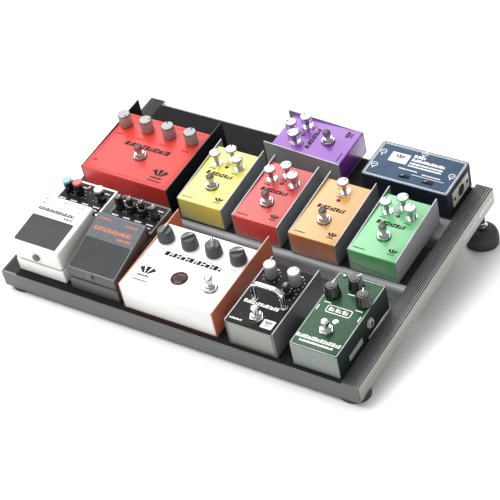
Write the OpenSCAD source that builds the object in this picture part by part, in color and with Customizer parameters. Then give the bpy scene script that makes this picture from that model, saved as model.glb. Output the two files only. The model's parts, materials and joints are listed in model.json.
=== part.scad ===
// A pedalboard: a raked aluminium frame with twelve effect pedals held on loop tape.
// The frame is drawn level, with its front left top corner at the origin, and on_board() rakes it.

/* [Frame] */
// Width across the side rails
board_w = 516; // [510:1:560]
// Depth from the front face to the rear ends of the side rails
board_d = 355; // [353:1:380]
// Height of every rail
rail_h = 24.5; // [24:0.5:28]
// Width of a side rail seen from above
rail_w = 22.5; // [22:0.5:24]
// Angle at which the frame leans towards the player
rake = 8; // [7:0.5:9]
// Wall thickness of the rails
rail_wall = 2.5; // [2:0.1:3]
// Thickness of the loop tape
tape_t = 1.5; // [1:0.1:2]

/* [Feet] */
// Radius of a front foot
front_foot_r = 19; // [15:0.5:20]
// Gap from the front rail to the floor
front_foot_h = 10; // [9:0.5:12]
// Radius of a rear foot
rear_foot_r = 22; // [20:0.5:24]
// Height of a rear foot's rubber dome
rear_foot_h = 24; // [20:0.5:26]
// Radius of a rear foot's stud
stud_r = 5; // [4:0.5:5]

/* [Pedals] */
// Width of a small folded pedal
small_w = 66; // [64:0.5:66]
// Depth of a small folded pedal
small_d = 110; // [106:0.5:111]
// Width of a wide folded pedal
wide_w = 134; // [130:0.5:134]
// Depth of a wide folded pedal
wide_d = 137; // [134:0.5:138]
// Width of a compact treadle pedal
compact_w = 73; // [70:0.5:73]
// Depth of a compact treadle pedal
compact_d = 133; // [126:0.5:135]
// Thickness of the folded sheet metal
sheet_t = 1.5; // [1.2:0.1:1.8]
// Running clearance round every spindle and plunger
fit_gap = 0.05; // [0.03:0.01:0.1]

/* [Hidden] */
$fn = 48;
eps = 0.05;
clear = 0.1;

// Frame
mid = board_w / 2;
inner_x = rail_w;
inner_w = board_w - 2 * rail_w;
ledge_w = 14;
ledge_t = 3;
ledge_screw_x = 7;
bar_h = rail_h - ledge_t;
bar_round = 7;
bar_flange = 16;
bar_screw_y = 8;
screw_r = 2.5;
screw_hole_r = 2.6;
screw_len = 9;
screw_head_r = 4.8;
screw_head_h = 2.8;
front_bar_d = 75;
middle_y = 157;
middle_d = 78;
rear_y = 251;
rear_d = 101;
rib_pitch = 2.1;
rib_count = 8;
groove_w = 1;
groove_t = 0.6;
edge_grooves = [18.1, 21];
rail_front = 3;

// Feet, and the height at which the raked frame stands on them
foot_x = 18;
foot_y = 20;
rear_foot_x = 11;
rear_foot_y = 336;
lift = (rail_h + front_foot_h) * cos(rake) - foot_y * sin(rake);
stud_end_z = -55;
stud_top_z = -11;
foot_nut_r = 7;
foot_nut_h = 6;
foot_nut_z = stud_end_z + 5;
dome_y = rear_foot_y * cos(rake) - stud_end_z * sin(rake);
depth_all = dome_y + rear_foot_r;

// Pedal floors
deck = tape_t;
white_at = [23.2, 11.5, deck];
grey_at = [106.6, 9.4, deck];
tube_at = [188.5, 7, deck];
metal_at = [341, 6, deck];
delay_at = [427.5, 6.5, deck];
yellow_at = [170, 167, deck];
red_at = [252.5, 165.5, deck];
orange_at = [335, 164, deck];
green_at = [417, 165.5, deck];
lead_at = [21.2, 167.5, deck];
purple_at = [336, 292, deck];
junction_at = [370, 287, deck];

// Folded pedals: front height, plate height at its rear edge, cheek height at the rear, plate depth
small_shape = [34, 37, 40.5, 101];
wide_shape = [40.5, 39.5, 42, 113];
metal_shape = [40.5, 38, 39.5, 103];
metal_extra_d = 2;

// Places on the folded pedals, from the left front corner
small_knobs_at = [[16.5, 73], [33, 86], [49.5, 73]];
one_knob_at = [[33, 86]];
small_switch_at = [33, 33.5];
lead_knobs_at = [for (i = [0:3]) [64.4 + (i - 1.5) * 34.7, 90.5]];
lead_switch_at = [66, 43];
tube_knobs_at = [for (i = [0:3]) [67 + (i - 1.5) * 35, 88]];
tube_switch_at = [111, 36];
metal_knobs_at = [[17, 83], [50, 83], [49, 63.5]];
metal_switch_at = [35, 17];
delay_w = 63.5;
delay_d = 121;
delay_h = 35.5;
delay_knobs_at = [[11.7, 85.5], [32.2, 105.7], [52.8, 86]];
delay_switch_at = [32.5, 32];
delay_jack = [74, 20];
delay_shape = [delay_h, delay_h, delay_h, delay_d];
junction_w = 120;
junction_d = 64;
junction_h = 36.5;
slide_slot = [12, 5];
slide_slots_at = [[54.5, 13], [87, 13]];
cast_wall = 2.4;
base_gap = 0.2;
base_t = 1.5;

// Knobs and switches
spindle_r = 3;
spindle_drop = 8;
plunger_drop = 9;
knob_gap = 0.8;
small_knob = [7.4, 17];
lead_knob = [8.6, 18.5];
tube_knob = [10.8, 19];
metal_knob = [7.6, 21];
black_knob = [6.5, 16];
delay_knob = [10.2, 17.5];
white_knob = [6.2, 20.4];
grey_knob = [6.2, 19.4];
lower_knob = [7, 12];
upper_knob = [4.6, 10.5];
ring_gap = 0.4;
pot_r = 8;
pot_h = 6.5;
pot_drop = 3;
board_t = 1.6;
bush_r = 6;
bush_h = 7.5;
nut_r = 8.6;
nut_h = 3.2;
plunger_r = 4;
button_r = 5.1;
button_h = 8.5;
button_gap = 3.2;
jack_bush_r = 4.7;
jack_r = 3.25;
jack_z = 18;
jack_inset = 14;
socket_r = 8;
socket_wall = 2;
socket_flange = [1.6, 42, 22];
socket_shell = 18;
socket_z = 19.5;

// Compact pedals
treadle_d = 82;
treadle_front = 51;
treadle_rear = 57;
treadle_wall = 2.6;
apron_z = 24;
press_gap = 4;
case_front = apron_z - press_gap;
case_step = 33;
case_rim = 40;
recess_floor = 39.2;
recess_y = 88;
hinge_y = 80;
hinge_z = 48;
hinge_r = 2.5;
hinge_len = 4.5;
thumb_z = 34;
thumb_r = 4.8;
compact_wall = 2.5;
compact_jack = [112, 20];
ear_w = 5;
ear_d = 10;
white_knobs_at = [[11.5, 112], [27.5, 113], [61.5, 112.5]];
grey_knobs_at = [for (i = [0:3]) [9.3 + i * 17.6, 112]];
guard_r = 3.1;
guard_bend = 10;
guard_rise = 28;
guard_x = [17, 57];
guard_y = 43;
guard_collar_r = 4.8;

// Carries a point or a shape from the level frame to the raked, standing frame.
module on_board() {
    translate([-mid, -depth_all / 2, lift])
        rotate([rake, 0, 0])
            children();
}

// A shape drawn in Y and Z, drawn out along X.
module along_x(x, length) {
    translate([x, 0, 0])
        rotate([90, 0, 90])
            linear_extrude(length)
                children();
}

// ---------- Frame ----------

// Outline of a bar with its two top edges rounded, its top at zero.
module bar_outline(depth, height, round_r) {
    translate([0, -height]) square([depth, height - round_r]);
    translate([round_r, -height]) square([depth - 2 * round_r, height]);
    for (y = [round_r, depth - round_r]) translate([y, -round_r]) circle(round_r);
}

// A channel bar that is open along the middle of its underside.
module channel_outline(depth) {
    inner_d = depth - 2 * rail_wall;
    difference() {
        bar_outline(depth, bar_h, bar_round);
        translate([rail_wall, -rail_wall])
            bar_outline(inner_d, bar_h - 2 * rail_wall, bar_round - rail_wall);
        translate([bar_flange, -bar_h - 1]) square([depth - 2 * bar_flange, rail_wall + 2]);
    }
}

module cross_bar(y, depth) {
    difference() {
        along_x(inner_x + clear, inner_w - 2 * clear) translate([y, 0]) channel_outline(depth);
        bar_holes(bar_screws(y, [bar_screw_y, depth - bar_screw_y]));
    }
}

// Places of the screws that hold one bar on both side rails' ledges, at distances from its front.
function bar_screws(y, distances) =
    [for (x = [inner_x + ledge_screw_x, board_w - inner_x - ledge_screw_x])
        for (d = distances) [x, y + d]];

// The front bar has screws at its rear edge only, because the feet sit under its front corners.
function front_screws() = bar_screws(0, [front_bar_d - bar_screw_y]);

function all_bar_screws() =
    concat(front_screws(), bar_screws(middle_y, [bar_screw_y, middle_d - bar_screw_y]),
        bar_screws(rear_y, [bar_screw_y, rear_d - bar_screw_y]));

// Screw holes through the underside of a bar.
module bar_holes(places) {
    for (p = places) translate([p[0], p[1], -bar_h - 1])
        cylinder(r = screw_hole_r, h = rail_wall + 2);
}

// The front bar's own face runs across the ends of both side rails.
module front_rail() {
    color("dimgray") on_board() difference() {
        union() {
            along_x(0, board_w) translate([0, -rail_h]) square([rail_front - clear, rail_h]);
            along_x(inner_x + clear, inner_w - 2 * clear) difference() {
                translate([0, -bar_h]) square([front_bar_d, bar_h]);
                translate([rail_front, -bar_h + rail_wall])
                    square([front_bar_d - rail_front - rail_wall, bar_h - 2 * rail_wall]);
                translate([bar_flange, -bar_h - 1])
                    square([front_bar_d - 2 * bar_flange, rail_wall + 2]);
            }
        }
        bar_holes(front_screws());
    }
}

// Section of the right side rail: a box with a ribbed top and a ledge on its inner side.
module rail_section() {
    difference() {
        union() {
            translate([0, -rail_h]) square([rail_w, rail_h]);
            translate([-ledge_w, -rail_h]) square([ledge_w + 1, ledge_t - clear]);
        }
        translate([rail_wall, -rail_h + rail_wall])
            square([rail_w - 2 * rail_wall, rail_h - 2 * rail_wall - groove_t]);
        for (i = [0:rib_count - 1]) translate([0.8 + i * rib_pitch, -groove_t]) square([groove_w, 1]);
        for (x = edge_grooves) translate([x, -groove_t]) square([groove_w, 1]);
    }
}

module side_rail() {
    length = board_d - rail_front;
    difference() {
        union() {
            translate([board_w - rail_w, board_d, 0])
                rotate([90, 0, 0])
                    linear_extrude(length) rail_section();
            // Wall that closes the rear end of the rail.
            translate([board_w - rail_w + 1, board_d - rail_wall, -rail_h + 1])
                cube([rail_w - 2, rail_wall, rail_h - 2]);
        }
        translate([board_w - rear_foot_x, rear_foot_y, -rail_h - 1])
            cylinder(r = stud_r + fit_gap, h = rail_wall + 2);
        for (p = all_bar_screws()) if (p[0] > mid)
            translate([p[0], p[1], -rail_h - 1]) cylinder(r = screw_hole_r, h = ledge_t + 2);
    }
}

module side_rails() {
    color("darkgray") on_board() {
        side_rail();
        translate([board_w, 0, 0]) mirror([1, 0, 0]) side_rail();
    }
}

module middle_rail() { color("silver") on_board() cross_bar(middle_y, middle_d); }

module rear_rail() { color("silver") on_board() cross_bar(rear_y, rear_d); }

module loop_tape() {
    strips = [[1.5, front_bar_d - 3], [middle_y + 9, middle_d - 11], [rear_y + 34, rear_d - 41]];
    color([0.13, 0.13, 0.13]) on_board()
        for (s = strips) translate([inner_x + 0.5, s[0], 0]) cube([inner_w - 1, s[1], tape_t]);
}

// One screw below the ledge at zero, with a hexagonal socket in its head.
module frame_screw() {
    difference() {
        union() {
            translate([0, 0, -screw_head_h]) cylinder(r = screw_head_r, h = screw_head_h);
            translate([0, 0, -eps]) cylinder(r = screw_r, h = screw_len);
        }
        translate([0, 0, -screw_head_h - 1]) cylinder(r = 2, h = 2.6, $fn = 6);
    }
}

module frame_screws() {
    color("gainsboro") on_board()
        for (p = all_bar_screws()) translate([p[0], p[1], -rail_h]) frame_screw();
}

// ---------- Feet ----------

// Everything just under the floor, to cut a leaning foot level.
module below_floor() { translate([-mid - 10, -depth_all, -40]) cube([board_w + 20, 2 * depth_all, 40]); }

module front_feet() {
    spare = 6;
    color([0.16, 0.16, 0.17]) difference() {
        on_board() for (x = [foot_x, board_w - foot_x])
            translate([x, foot_y, -rail_h - front_foot_h - spare])
                cylinder(r = front_foot_r, h = front_foot_h + spare - clear);
        below_floor();
    }
}

// Radii and heights of the dome, from its base to the ring round the stud.
module dome() {
    r = rear_foot_r;
    h = rear_foot_h;
    shoulder = [for (a = [0:10:80]) [10 + (r - 10) * cos(a), 6 + (h - 6) * sin(a)]];
    rotate_extrude()
        polygon(concat([[0, 0], [r - 2, 0], [r - 0.5, 2]], shoulder, [[9, h], [0, h]]));
}

module rear_foot(x) {
    color([0.16, 0.16, 0.17]) difference() {
        translate([x - mid, dome_y - depth_all / 2, 0]) dome();
        on_board() translate([x, rear_foot_y, stud_end_z - clear]) cylinder(r = stud_r + clear, h = 60);
    }
    color("gainsboro") on_board() translate([x, rear_foot_y, 0]) {
        translate([0, 0, stud_end_z]) cylinder(r = stud_r, h = stud_top_z - stud_end_z);
        translate([0, 0, foot_nut_z]) cylinder(r = foot_nut_r, h = foot_nut_h, $fn = 6);
    }
}

module rear_foot_left() { rear_foot(rear_foot_x); }

module rear_foot_right() { rear_foot(board_w - rear_foot_x); }

// ---------- Folded pedals ----------

// Height of the plate of a folded pedal at a depth, from the pedal's floor.
function plate_z(shape, y) = shape[0] + (shape[1] - shape[0]) * y / shape[3];

module at_pedal(where) { on_board() translate(where) children(); }

module at_purple() { on_board() translate(purple_at) rotate([0, 0, 90]) children(); }

// The U shaped chassis: a floor and two cheeks that rise behind the cover.
module chassis(width, depth, shape) {
    for (x = [0, width - sheet_t]) along_x(x, sheet_t)
        polygon([[0, 0], [0, shape[0]], [depth, shape[2]], [depth, 0]]);
    cube([width, depth, sheet_t]);
}

// The cover: front, top and back folded from one sheet, with holes for spindles, switch and jacks.
module cover(width, shape, knobs, switch) {
    top_d = shape[3];
    difference() {
        along_x(sheet_t + clear, width - 2 * sheet_t - 2 * clear) difference() {
            polygon([[0, sheet_t + clear], [0, shape[0]], [top_d, shape[1]], [top_d, sheet_t + clear]]);
            polygon([[sheet_t, 0], [sheet_t, shape[0] - sheet_t], [top_d - sheet_t, shape[1] - sheet_t],
                [top_d - sheet_t, 0]]);
        }
        for (k = knobs) translate([k[0], k[1], 20]) cylinder(r = spindle_r + fit_gap, h = 40);
        translate([switch[0], switch[1], 20]) cylinder(r = bush_r + clear, h = 40);
        for (x = jack_places(width)) translate([x, top_d + 1, jack_z]) rotate([90, 0, 0])
            cylinder(r = jack_bush_r + clear, h = 6);
    }
}

// Distances across a back panel at which its two jacks sit.
function jack_places(width) = [jack_inset, width - jack_inset];

// A turned button or knob standing at zero, with its top edge bevelled.
module turned(radius, height, bevel) {
    rotate_extrude()
        polygon([[0, 0], [radius, 0], [radius, height - bevel], [radius - bevel, height], [0, height]]);
}

// A knob of size [radius, height] on its spindle, which passes through the plate.
module knob(shape, size, at) {
    translate([at[0], at[1], plate_z(shape, at[1])]) {
        translate([0, 0, -spindle_drop]) cylinder(r = spindle_r, h = spindle_drop + 4);
        translate([0, 0, knob_gap]) turned(size[0], size[1], 1.2);
    }
}

// A foot switch's button and the plunger under it.
module plunger(shape, at) {
    button_z = bush_h + button_gap;
    translate([at[0], at[1], plate_z(shape, at[1])]) {
        translate([0, 0, -plunger_drop]) cylinder(r = plunger_r, h = plunger_drop + button_z + eps);
        translate([0, 0, button_z]) turned(button_r, button_h, 1);
    }
}

// Bush, nut and body of one foot switch, with a bore for its plunger.
module switch_bush(shape, at) {
    body = [16, 16, 18.5];
    translate([at[0], at[1], plate_z(shape, at[1])]) difference() {
        union() {
            translate([0, 0, 0.6]) cylinder(r = nut_r, h = nut_h, $fn = 6);
            translate([0, 0, -6]) cylinder(r = bush_r, h = 6 + bush_h);
            translate([-body[0] / 2, -body[1] / 2, -22]) cube(body);
        }
        translate([0, 0, -20]) cylinder(r = plunger_r + fit_gap, h = 40);
    }
}

// One jack: a threaded bush with a nut outside the panel and a body behind it, along +Y.
module jack() {
    body = [12, 12, 13];
    rotate([-90, 0, 0]) difference() {
        union() {
            translate([0, 0, 0.3]) cylinder(r = 6.8, h = 2.2, $fn = 6);
            translate([0, 0, -4]) cylinder(r = jack_bush_r, h = 8);
            translate([-body[0] / 2, -body[1] / 2, -16]) cube(body);
        }
        translate([0, 0, -15]) cylinder(r = jack_r, h = 30);
    }
}

// The junction box's output socket: a screwed flange with a round shell behind it.
module output_socket() {
    flange = socket_flange;
    translate([junction_w, junction_d / 2, socket_z]) difference() {
        union() {
            translate([0.2, -flange[1] / 2, -flange[2] / 2]) cube(flange);
            translate([-socket_shell, 0, 0]) rotate([0, 90, 0])
                cylinder(r = socket_r + socket_wall, h = socket_shell + 1);
        }
        translate([socket_wall - socket_shell, 0, 0]) rotate([0, 90, 0])
            cylinder(r = socket_r, h = socket_shell + 5);
    }
}

module rear_jacks(width, shape) {
    for (x = jack_places(width)) translate([x, shape[3], jack_z]) jack();
}

// Circuit board that hangs under the plate on the bodies of its potentiometers.
module folded_board(width, shape, knobs) {
    back = shape[3] - 20;
    front = back - 35;
    under = plate_z(shape, front) - pot_drop - pot_h;
    translate([6, front, under - board_t]) cube([width - 12, back - front, board_t]);
    for (k = knobs) translate([k[0], k[1], under - eps]) difference() {
        cylinder(r = pot_r, h = pot_h);
        translate([0, 0, 0.6]) cylinder(r = spindle_r + 0.3, h = pot_h);
    }
}

// ---------- Compact treadle pedals ----------

// Outline of the case: low under the treadle, then a step up to the knob recess.
module compact_outline(inset) {
    low = case_step - inset;
    wall_y = recess_y - 3 + inset;
    polygon([[inset, 0], [inset, case_front - inset], [treadle_d - 12, low], [wall_y, low],
        [wall_y, case_rim - inset], [compact_d - inset, case_rim - inset], [compact_d - inset, 0]]);
}

// One ear with the bore for a hinge pin of the treadle.
module hinge_ear() {
    foot_z = case_step - 1;
    difference() {
        translate([0, hinge_y - ear_d / 2, foot_z]) cube([ear_w, ear_d, hinge_z - foot_z + 4]);
        translate([-1, hinge_y, hinge_z]) rotate([0, 90, 0])
            cylinder(r = hinge_r + fit_gap, h = ear_w + 2);
    }
}

module compact_case() {
    inner_w = compact_w - 2 * compact_wall;
    difference() {
        along_x(0, compact_w) compact_outline(0);
        along_x(compact_wall, inner_w) difference() {
            compact_outline(compact_wall);
            // Floor of the knob recess.
            translate([recess_y - 5, recess_floor - compact_wall]) square([compact_d, 20]);
        }
        translate([compact_wall, recess_y, recess_floor])
            cube([inner_w, compact_d - recess_y - compact_wall, 20]);
        for (side = [0, compact_w]) translate([side, compact_jack[0], compact_jack[1]])
            rotate([0, 90, 0]) cylinder(r = jack_bush_r + clear, h = 20, center = true);
    }
    ear_x = treadle_wall + 0.6;
    for (x = [ear_x, compact_w - ear_x - ear_w]) translate([x, 0, 0]) hinge_ear();
}

// The treadle: a top, a front apron, two side skirts and two hinge pins.
module treadle() {
    slope = (treadle_rear - treadle_front) / treadle_d;
    inner_z = treadle_front - 3.5;
    skirt = [[0, apron_z], [0, treadle_front], [treadle_d, treadle_rear], [treadle_d, 44.5],
        [treadle_d - 12, case_step + 2]];
    difference() {
        along_x(0, compact_w) polygon(skirt);
        along_x(treadle_wall, compact_w - 2 * treadle_wall)
            polygon([[treadle_wall, 0], [treadle_wall, inner_z],
                [treadle_d + 1, inner_z + slope * (treadle_d + 1)], [treadle_d + 1, 0]]);
        // The thumbscrew's hole in the apron.
        translate([compact_w / 2, -1, thumb_z]) rotate([-90, 0, 0])
            cylinder(r = screw_hole_r, h = 6);
    }
    for (x = [treadle_wall - eps, compact_w - treadle_wall - hinge_len + eps])
        translate([x, hinge_y, hinge_z]) rotate([0, 90, 0]) cylinder(r = hinge_r, h = hinge_len);
    // Thumbscrew that locks the treadle.
    translate([compact_w / 2, 2, thumb_z]) rotate([90, 0, 0]) {
        cylinder(r = screw_r, h = 4);
        translate([0, 0, 2.1]) cylinder(r = thumb_r, h = 3.5);
    }
}

module compact_board() {
    translate([6, 92, 28]) cube([compact_w - 12, 32, board_t]);
    translate([6, 20, 5]) cube([compact_w - 12, 62, board_t]);
}

// Two jacks, one through each side wall.
module compact_jacks() {
    translate([compact_w, compact_jack[0], compact_jack[1]]) rotate([0, 0, -90]) jack();
    translate([0, compact_jack[0], compact_jack[1]]) rotate([0, 0, 90]) jack();
}

// ---------- Cast boxes ----------

// A cast box that is open below.
module cast_box(width, depth, height) {
    difference() {
        cube([width, depth, height]);
        translate([cast_wall, cast_wall, -1])
            cube([width - 2 * cast_wall, depth - 2 * cast_wall, height - cast_wall + 1]);
    }
}

module delay_case() {
    color([0.2, 0.4, 0.28]) at_pedal(delay_at) difference() {
        cast_box(delay_w, delay_d, delay_h);
        for (k = delay_knobs_at) translate([k[0], k[1], 20]) cylinder(r = spindle_r + fit_gap, h = 40);
        translate([delay_switch_at[0], delay_switch_at[1], 20]) cylinder(r = bush_r + clear, h = 40);
        for (side = [0, delay_w]) translate([side, delay_jack[0], delay_jack[1]]) rotate([0, 90, 0])
            cylinder(r = jack_bush_r + clear, h = 20, center = true);
    }
}

module junction_case() {
    color([0.12, 0.16, 0.25]) at_pedal(junction_at) difference() {
        cast_box(junction_w, junction_d, junction_h);
        // Opening for the three pole output socket.
        translate([junction_w - 10, junction_d / 2, socket_z]) rotate([0, 90, 0])
            cylinder(r = socket_r + socket_wall + clear, h = 20);
        // Slots of the two slide switches.
        for (at = slide_slots_at)
            translate([at[0] - slide_slot[0] / 2, at[1] - slide_slot[1] / 2, 20])
                cube([slide_slot[0], slide_slot[1], 40]);
    }
}

// ---------- Groups ----------

module white_compact_case() { color("white") at_pedal(white_at) compact_case(); }

module grey_compact_case() { color([0.36, 0.37, 0.4]) at_pedal(grey_at) compact_case(); }

module white_treadle() { color("white") at_pedal(white_at) treadle(); }

module grey_treadle() { color([0.36, 0.37, 0.4]) at_pedal(grey_at) treadle(); }

module tube_drive_cover() {
    color("white") at_pedal(tube_at) cover(wide_w, wide_shape, tube_knobs_at, tube_switch_at);
}

module lead_drive_cover() {
    color("tomato") at_pedal(lead_at) cover(wide_w, wide_shape, lead_knobs_at, lead_switch_at);
}

module small_cover(knobs) { cover(small_w, small_shape, knobs, small_switch_at); }

module yellow_cover() { color("khaki") at_pedal(yellow_at) small_cover(small_knobs_at); }

module red_cover() { color("tomato") at_pedal(red_at) small_cover(small_knobs_at); }

module orange_cover() { color("sandybrown") at_pedal(orange_at) small_cover(one_knob_at); }

module green_cover() { color("lightgreen") at_pedal(green_at) small_cover(small_knobs_at); }

module purple_cover() { color("mediumpurple") at_purple() small_cover(small_knobs_at); }

module metal_cover() {
    color([0.25, 0.26, 0.25]) at_pedal(metal_at) cover(small_w, metal_shape, metal_knobs_at, metal_switch_at);
}

module small_chassis() {
    color("gray") {
        for (where = [yellow_at, red_at, orange_at, green_at])
            at_pedal(where) chassis(small_w, small_d, small_shape);
        at_purple() chassis(small_w, small_d, small_shape);
        at_pedal(metal_at) chassis(small_w, small_d + metal_extra_d, metal_shape);
    }
}

module wide_chassis() {
    color("sienna") at_pedal(tube_at) chassis(wide_w, wide_d, wide_shape);
    color([0.1, 0.12, 0.13]) at_pedal(lead_at) chassis(wide_w, wide_d, wide_shape);
}

// Bottom plates of the four pedals whose cases are castings.
module base_plates() {
    color([0.2, 0.2, 0.21]) {
        for (where = [white_at, grey_at]) at_pedal(where) base_plate(compact_w, compact_d, compact_wall);
        at_pedal(delay_at) base_plate(delay_w, delay_d, cast_wall);
        at_pedal(junction_at) base_plate(junction_w, junction_d, cast_wall);
    }
}

// A plate that fills the open underside of a casting with a little room all round.
module base_plate(width, depth, wall) {
    inset = wall + base_gap;
    translate([inset, inset, 0]) cube([width - 2 * inset, depth - 2 * inset, base_t]);
}

module circuit_boards() {
    color("seagreen") {
        for (where = [yellow_at, red_at, green_at]) at_pedal(where)
            folded_board(small_w, small_shape, small_knobs_at);
        at_pedal(orange_at) folded_board(small_w, small_shape, one_knob_at);
        at_purple() folded_board(small_w, small_shape, small_knobs_at);
        at_pedal(metal_at) folded_board(small_w, metal_shape, metal_knobs_at);
        at_pedal(tube_at) folded_board(wide_w, wide_shape, tube_knobs_at);
        at_pedal(lead_at) folded_board(wide_w, wide_shape, lead_knobs_at);
        at_pedal(delay_at) translate([0, 15, 0]) folded_board(delay_w, delay_shape, []);
        at_pedal(junction_at) translate([8, 8, 8]) cube([junction_w - 30, junction_d - 16, board_t]);
        for (where = [white_at, grey_at]) at_pedal(where) compact_board();
    }
}

module panel_bushes() {
    color("gainsboro") {
        for (where = [yellow_at, red_at, orange_at, green_at]) at_pedal(where) {
            switch_bush(small_shape, small_switch_at);
            rear_jacks(small_w, small_shape);
        }
        at_purple() {
            switch_bush(small_shape, small_switch_at);
            rear_jacks(small_w, small_shape);
        }
        at_pedal(metal_at) {
            switch_bush(metal_shape, metal_switch_at);
            rear_jacks(small_w, metal_shape);
        }
        at_pedal(tube_at) {
            switch_bush(wide_shape, tube_switch_at);
            rear_jacks(wide_w, wide_shape);
        }
        at_pedal(lead_at) {
            switch_bush(wide_shape, lead_switch_at);
            rear_jacks(wide_w, wide_shape);
        }
        at_pedal(delay_at) {
            switch_bush(delay_shape, delay_switch_at);
            translate([delay_w, delay_jack[0], delay_jack[1]]) rotate([0, 0, -90]) jack();
            translate([0, delay_jack[0], delay_jack[1]]) rotate([0, 0, 90]) jack();
        }
        for (where = [white_at, grey_at]) at_pedal(where) compact_jacks();
        at_pedal(junction_at) output_socket();
    }
}

// The metal pedal's chrome bar: two legs and a top that meet in round corners.
module guard_bar() {
    foot = plate_z(metal_shape, guard_y) + base_gap;
    leg = guard_rise - guard_bend - base_gap;
    left = guard_x[0];
    right = guard_x[1];
    color("gainsboro") at_pedal(metal_at) translate([0, guard_y, foot]) {
        for (x = guard_x) translate([x, 0, 0]) {
            cylinder(r = guard_r, h = leg);
            cylinder(r = guard_collar_r, h = 1.2);
        }
        translate([left + guard_bend, 0, leg + guard_bend]) rotate([0, 90, 0])
            cylinder(r = guard_r, h = right - left - 2 * guard_bend);
        for (corner = [[left + guard_bend, 90], [right - guard_bend, 0]])
            translate([corner[0], 0, leg]) rotate([90, 0, 0]) rotate([0, 0, corner[1]])
                rotate_extrude(angle = 90) translate([guard_bend, 0]) circle(guard_r);
    }
}

module small_plunger() { plunger(small_shape, small_switch_at); }

module small_knob_at(i) { knob(small_shape, small_knob, small_knobs_at[i]); }

module tube_knob_at(i) { at_pedal(tube_at) knob(wide_shape, tube_knob, tube_knobs_at[i]); }

module lead_knob_at(i) { at_pedal(lead_at) knob(wide_shape, lead_knob, lead_knobs_at[i]); }

// A compact pedal's knob of size [radius, height], which stands in the recess.
module recess_knob(at, size) {
    translate([at[0], at[1], recess_floor + ring_gap]) cylinder(r = size[0], h = size[1]);
}

// The small knobs of the two compact pedals, the metal pedal and the delay pedal.
module mini_knobs() {
    color([0.1, 0.1, 0.11]) {
        at_pedal(white_at) for (at = white_knobs_at) recess_knob(at, white_knob);
        at_pedal(grey_at) {
            for (i = [0, 3]) recess_knob(grey_knobs_at[i], grey_knob);
            for (i = [1, 2]) {
                recess_knob(grey_knobs_at[i], lower_knob);
                translate([0, 0, lower_knob[1] + ring_gap]) recess_knob(grey_knobs_at[i], upper_knob);
            }
        }
        at_pedal(metal_at) knob(metal_shape, black_knob, metal_knobs_at[2]);
        at_pedal(delay_at) for (at = delay_knobs_at) knob(delay_shape, delay_knob, at);
    }
    color("silver") at_pedal(metal_at)
        for (i = [0, 1]) knob(metal_shape, metal_knob, metal_knobs_at[i]);
}

front_rail();
side_rails();
middle_rail();
rear_rail();
loop_tape();
front_feet();
frame_screws();
white_compact_case();
grey_compact_case();
tube_drive_cover();
lead_drive_cover();
yellow_cover();
red_cover();
orange_cover();
green_cover();
purple_cover();
metal_cover();
delay_case();
junction_case();
small_chassis();
wide_chassis();
base_plates();
circuit_boards();
panel_bushes();
guard_bar();
rear_foot_left();
rear_foot_right();
white_treadle();
grey_treadle();
at_pedal(tube_at) plunger(wide_shape, tube_switch_at);  // tube_plunger
at_pedal(lead_at) plunger(wide_shape, lead_switch_at);  // lead_plunger
at_pedal(yellow_at) small_plunger();  // yellow_plunger
at_pedal(red_at) small_plunger();  // red_plunger
at_pedal(orange_at) small_plunger();  // orange_plunger
at_pedal(green_at) small_plunger();  // green_plunger
at_purple() small_plunger();  // purple_plunger
at_pedal(metal_at) plunger(metal_shape, metal_switch_at);  // metal_plunger
at_pedal(delay_at) plunger(delay_shape, delay_switch_at);  // delay_plunger
tube_knob_at(0);  // tube_knob_1
tube_knob_at(1);  // tube_knob_2
tube_knob_at(2);  // tube_knob_3
tube_knob_at(3);  // tube_knob_4
lead_knob_at(0);  // lead_knob_1
lead_knob_at(1);  // lead_knob_2
lead_knob_at(2);  // lead_knob_3
lead_knob_at(3);  // lead_knob_4
at_pedal(yellow_at) small_knob_at(0);  // yellow_knob_1
at_pedal(yellow_at) small_knob_at(1);  // yellow_knob_2
at_pedal(yellow_at) small_knob_at(2);  // yellow_knob_3
at_pedal(red_at) small_knob_at(0);  // red_knob_1
at_pedal(red_at) small_knob_at(1);  // red_knob_2
at_pedal(red_at) small_knob_at(2);  // red_knob_3
at_pedal(orange_at) small_knob_at(1);  // orange_knob
at_pedal(green_at) small_knob_at(0);  // green_knob_1
at_pedal(green_at) small_knob_at(1);  // green_knob_2
at_pedal(green_at) small_knob_at(2);  // green_knob_3
at_purple() small_knob_at(0);  // purple_knob_1
at_purple() small_knob_at(1);  // purple_knob_2
at_purple() small_knob_at(2);  // purple_knob_3
mini_knobs();
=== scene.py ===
"""A pedalboard: a raked frame with twelve effect pedals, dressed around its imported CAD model."""

import json
import math

import bmesh
import bpy
from mathutils import Matrix, Vector, noise


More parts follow.
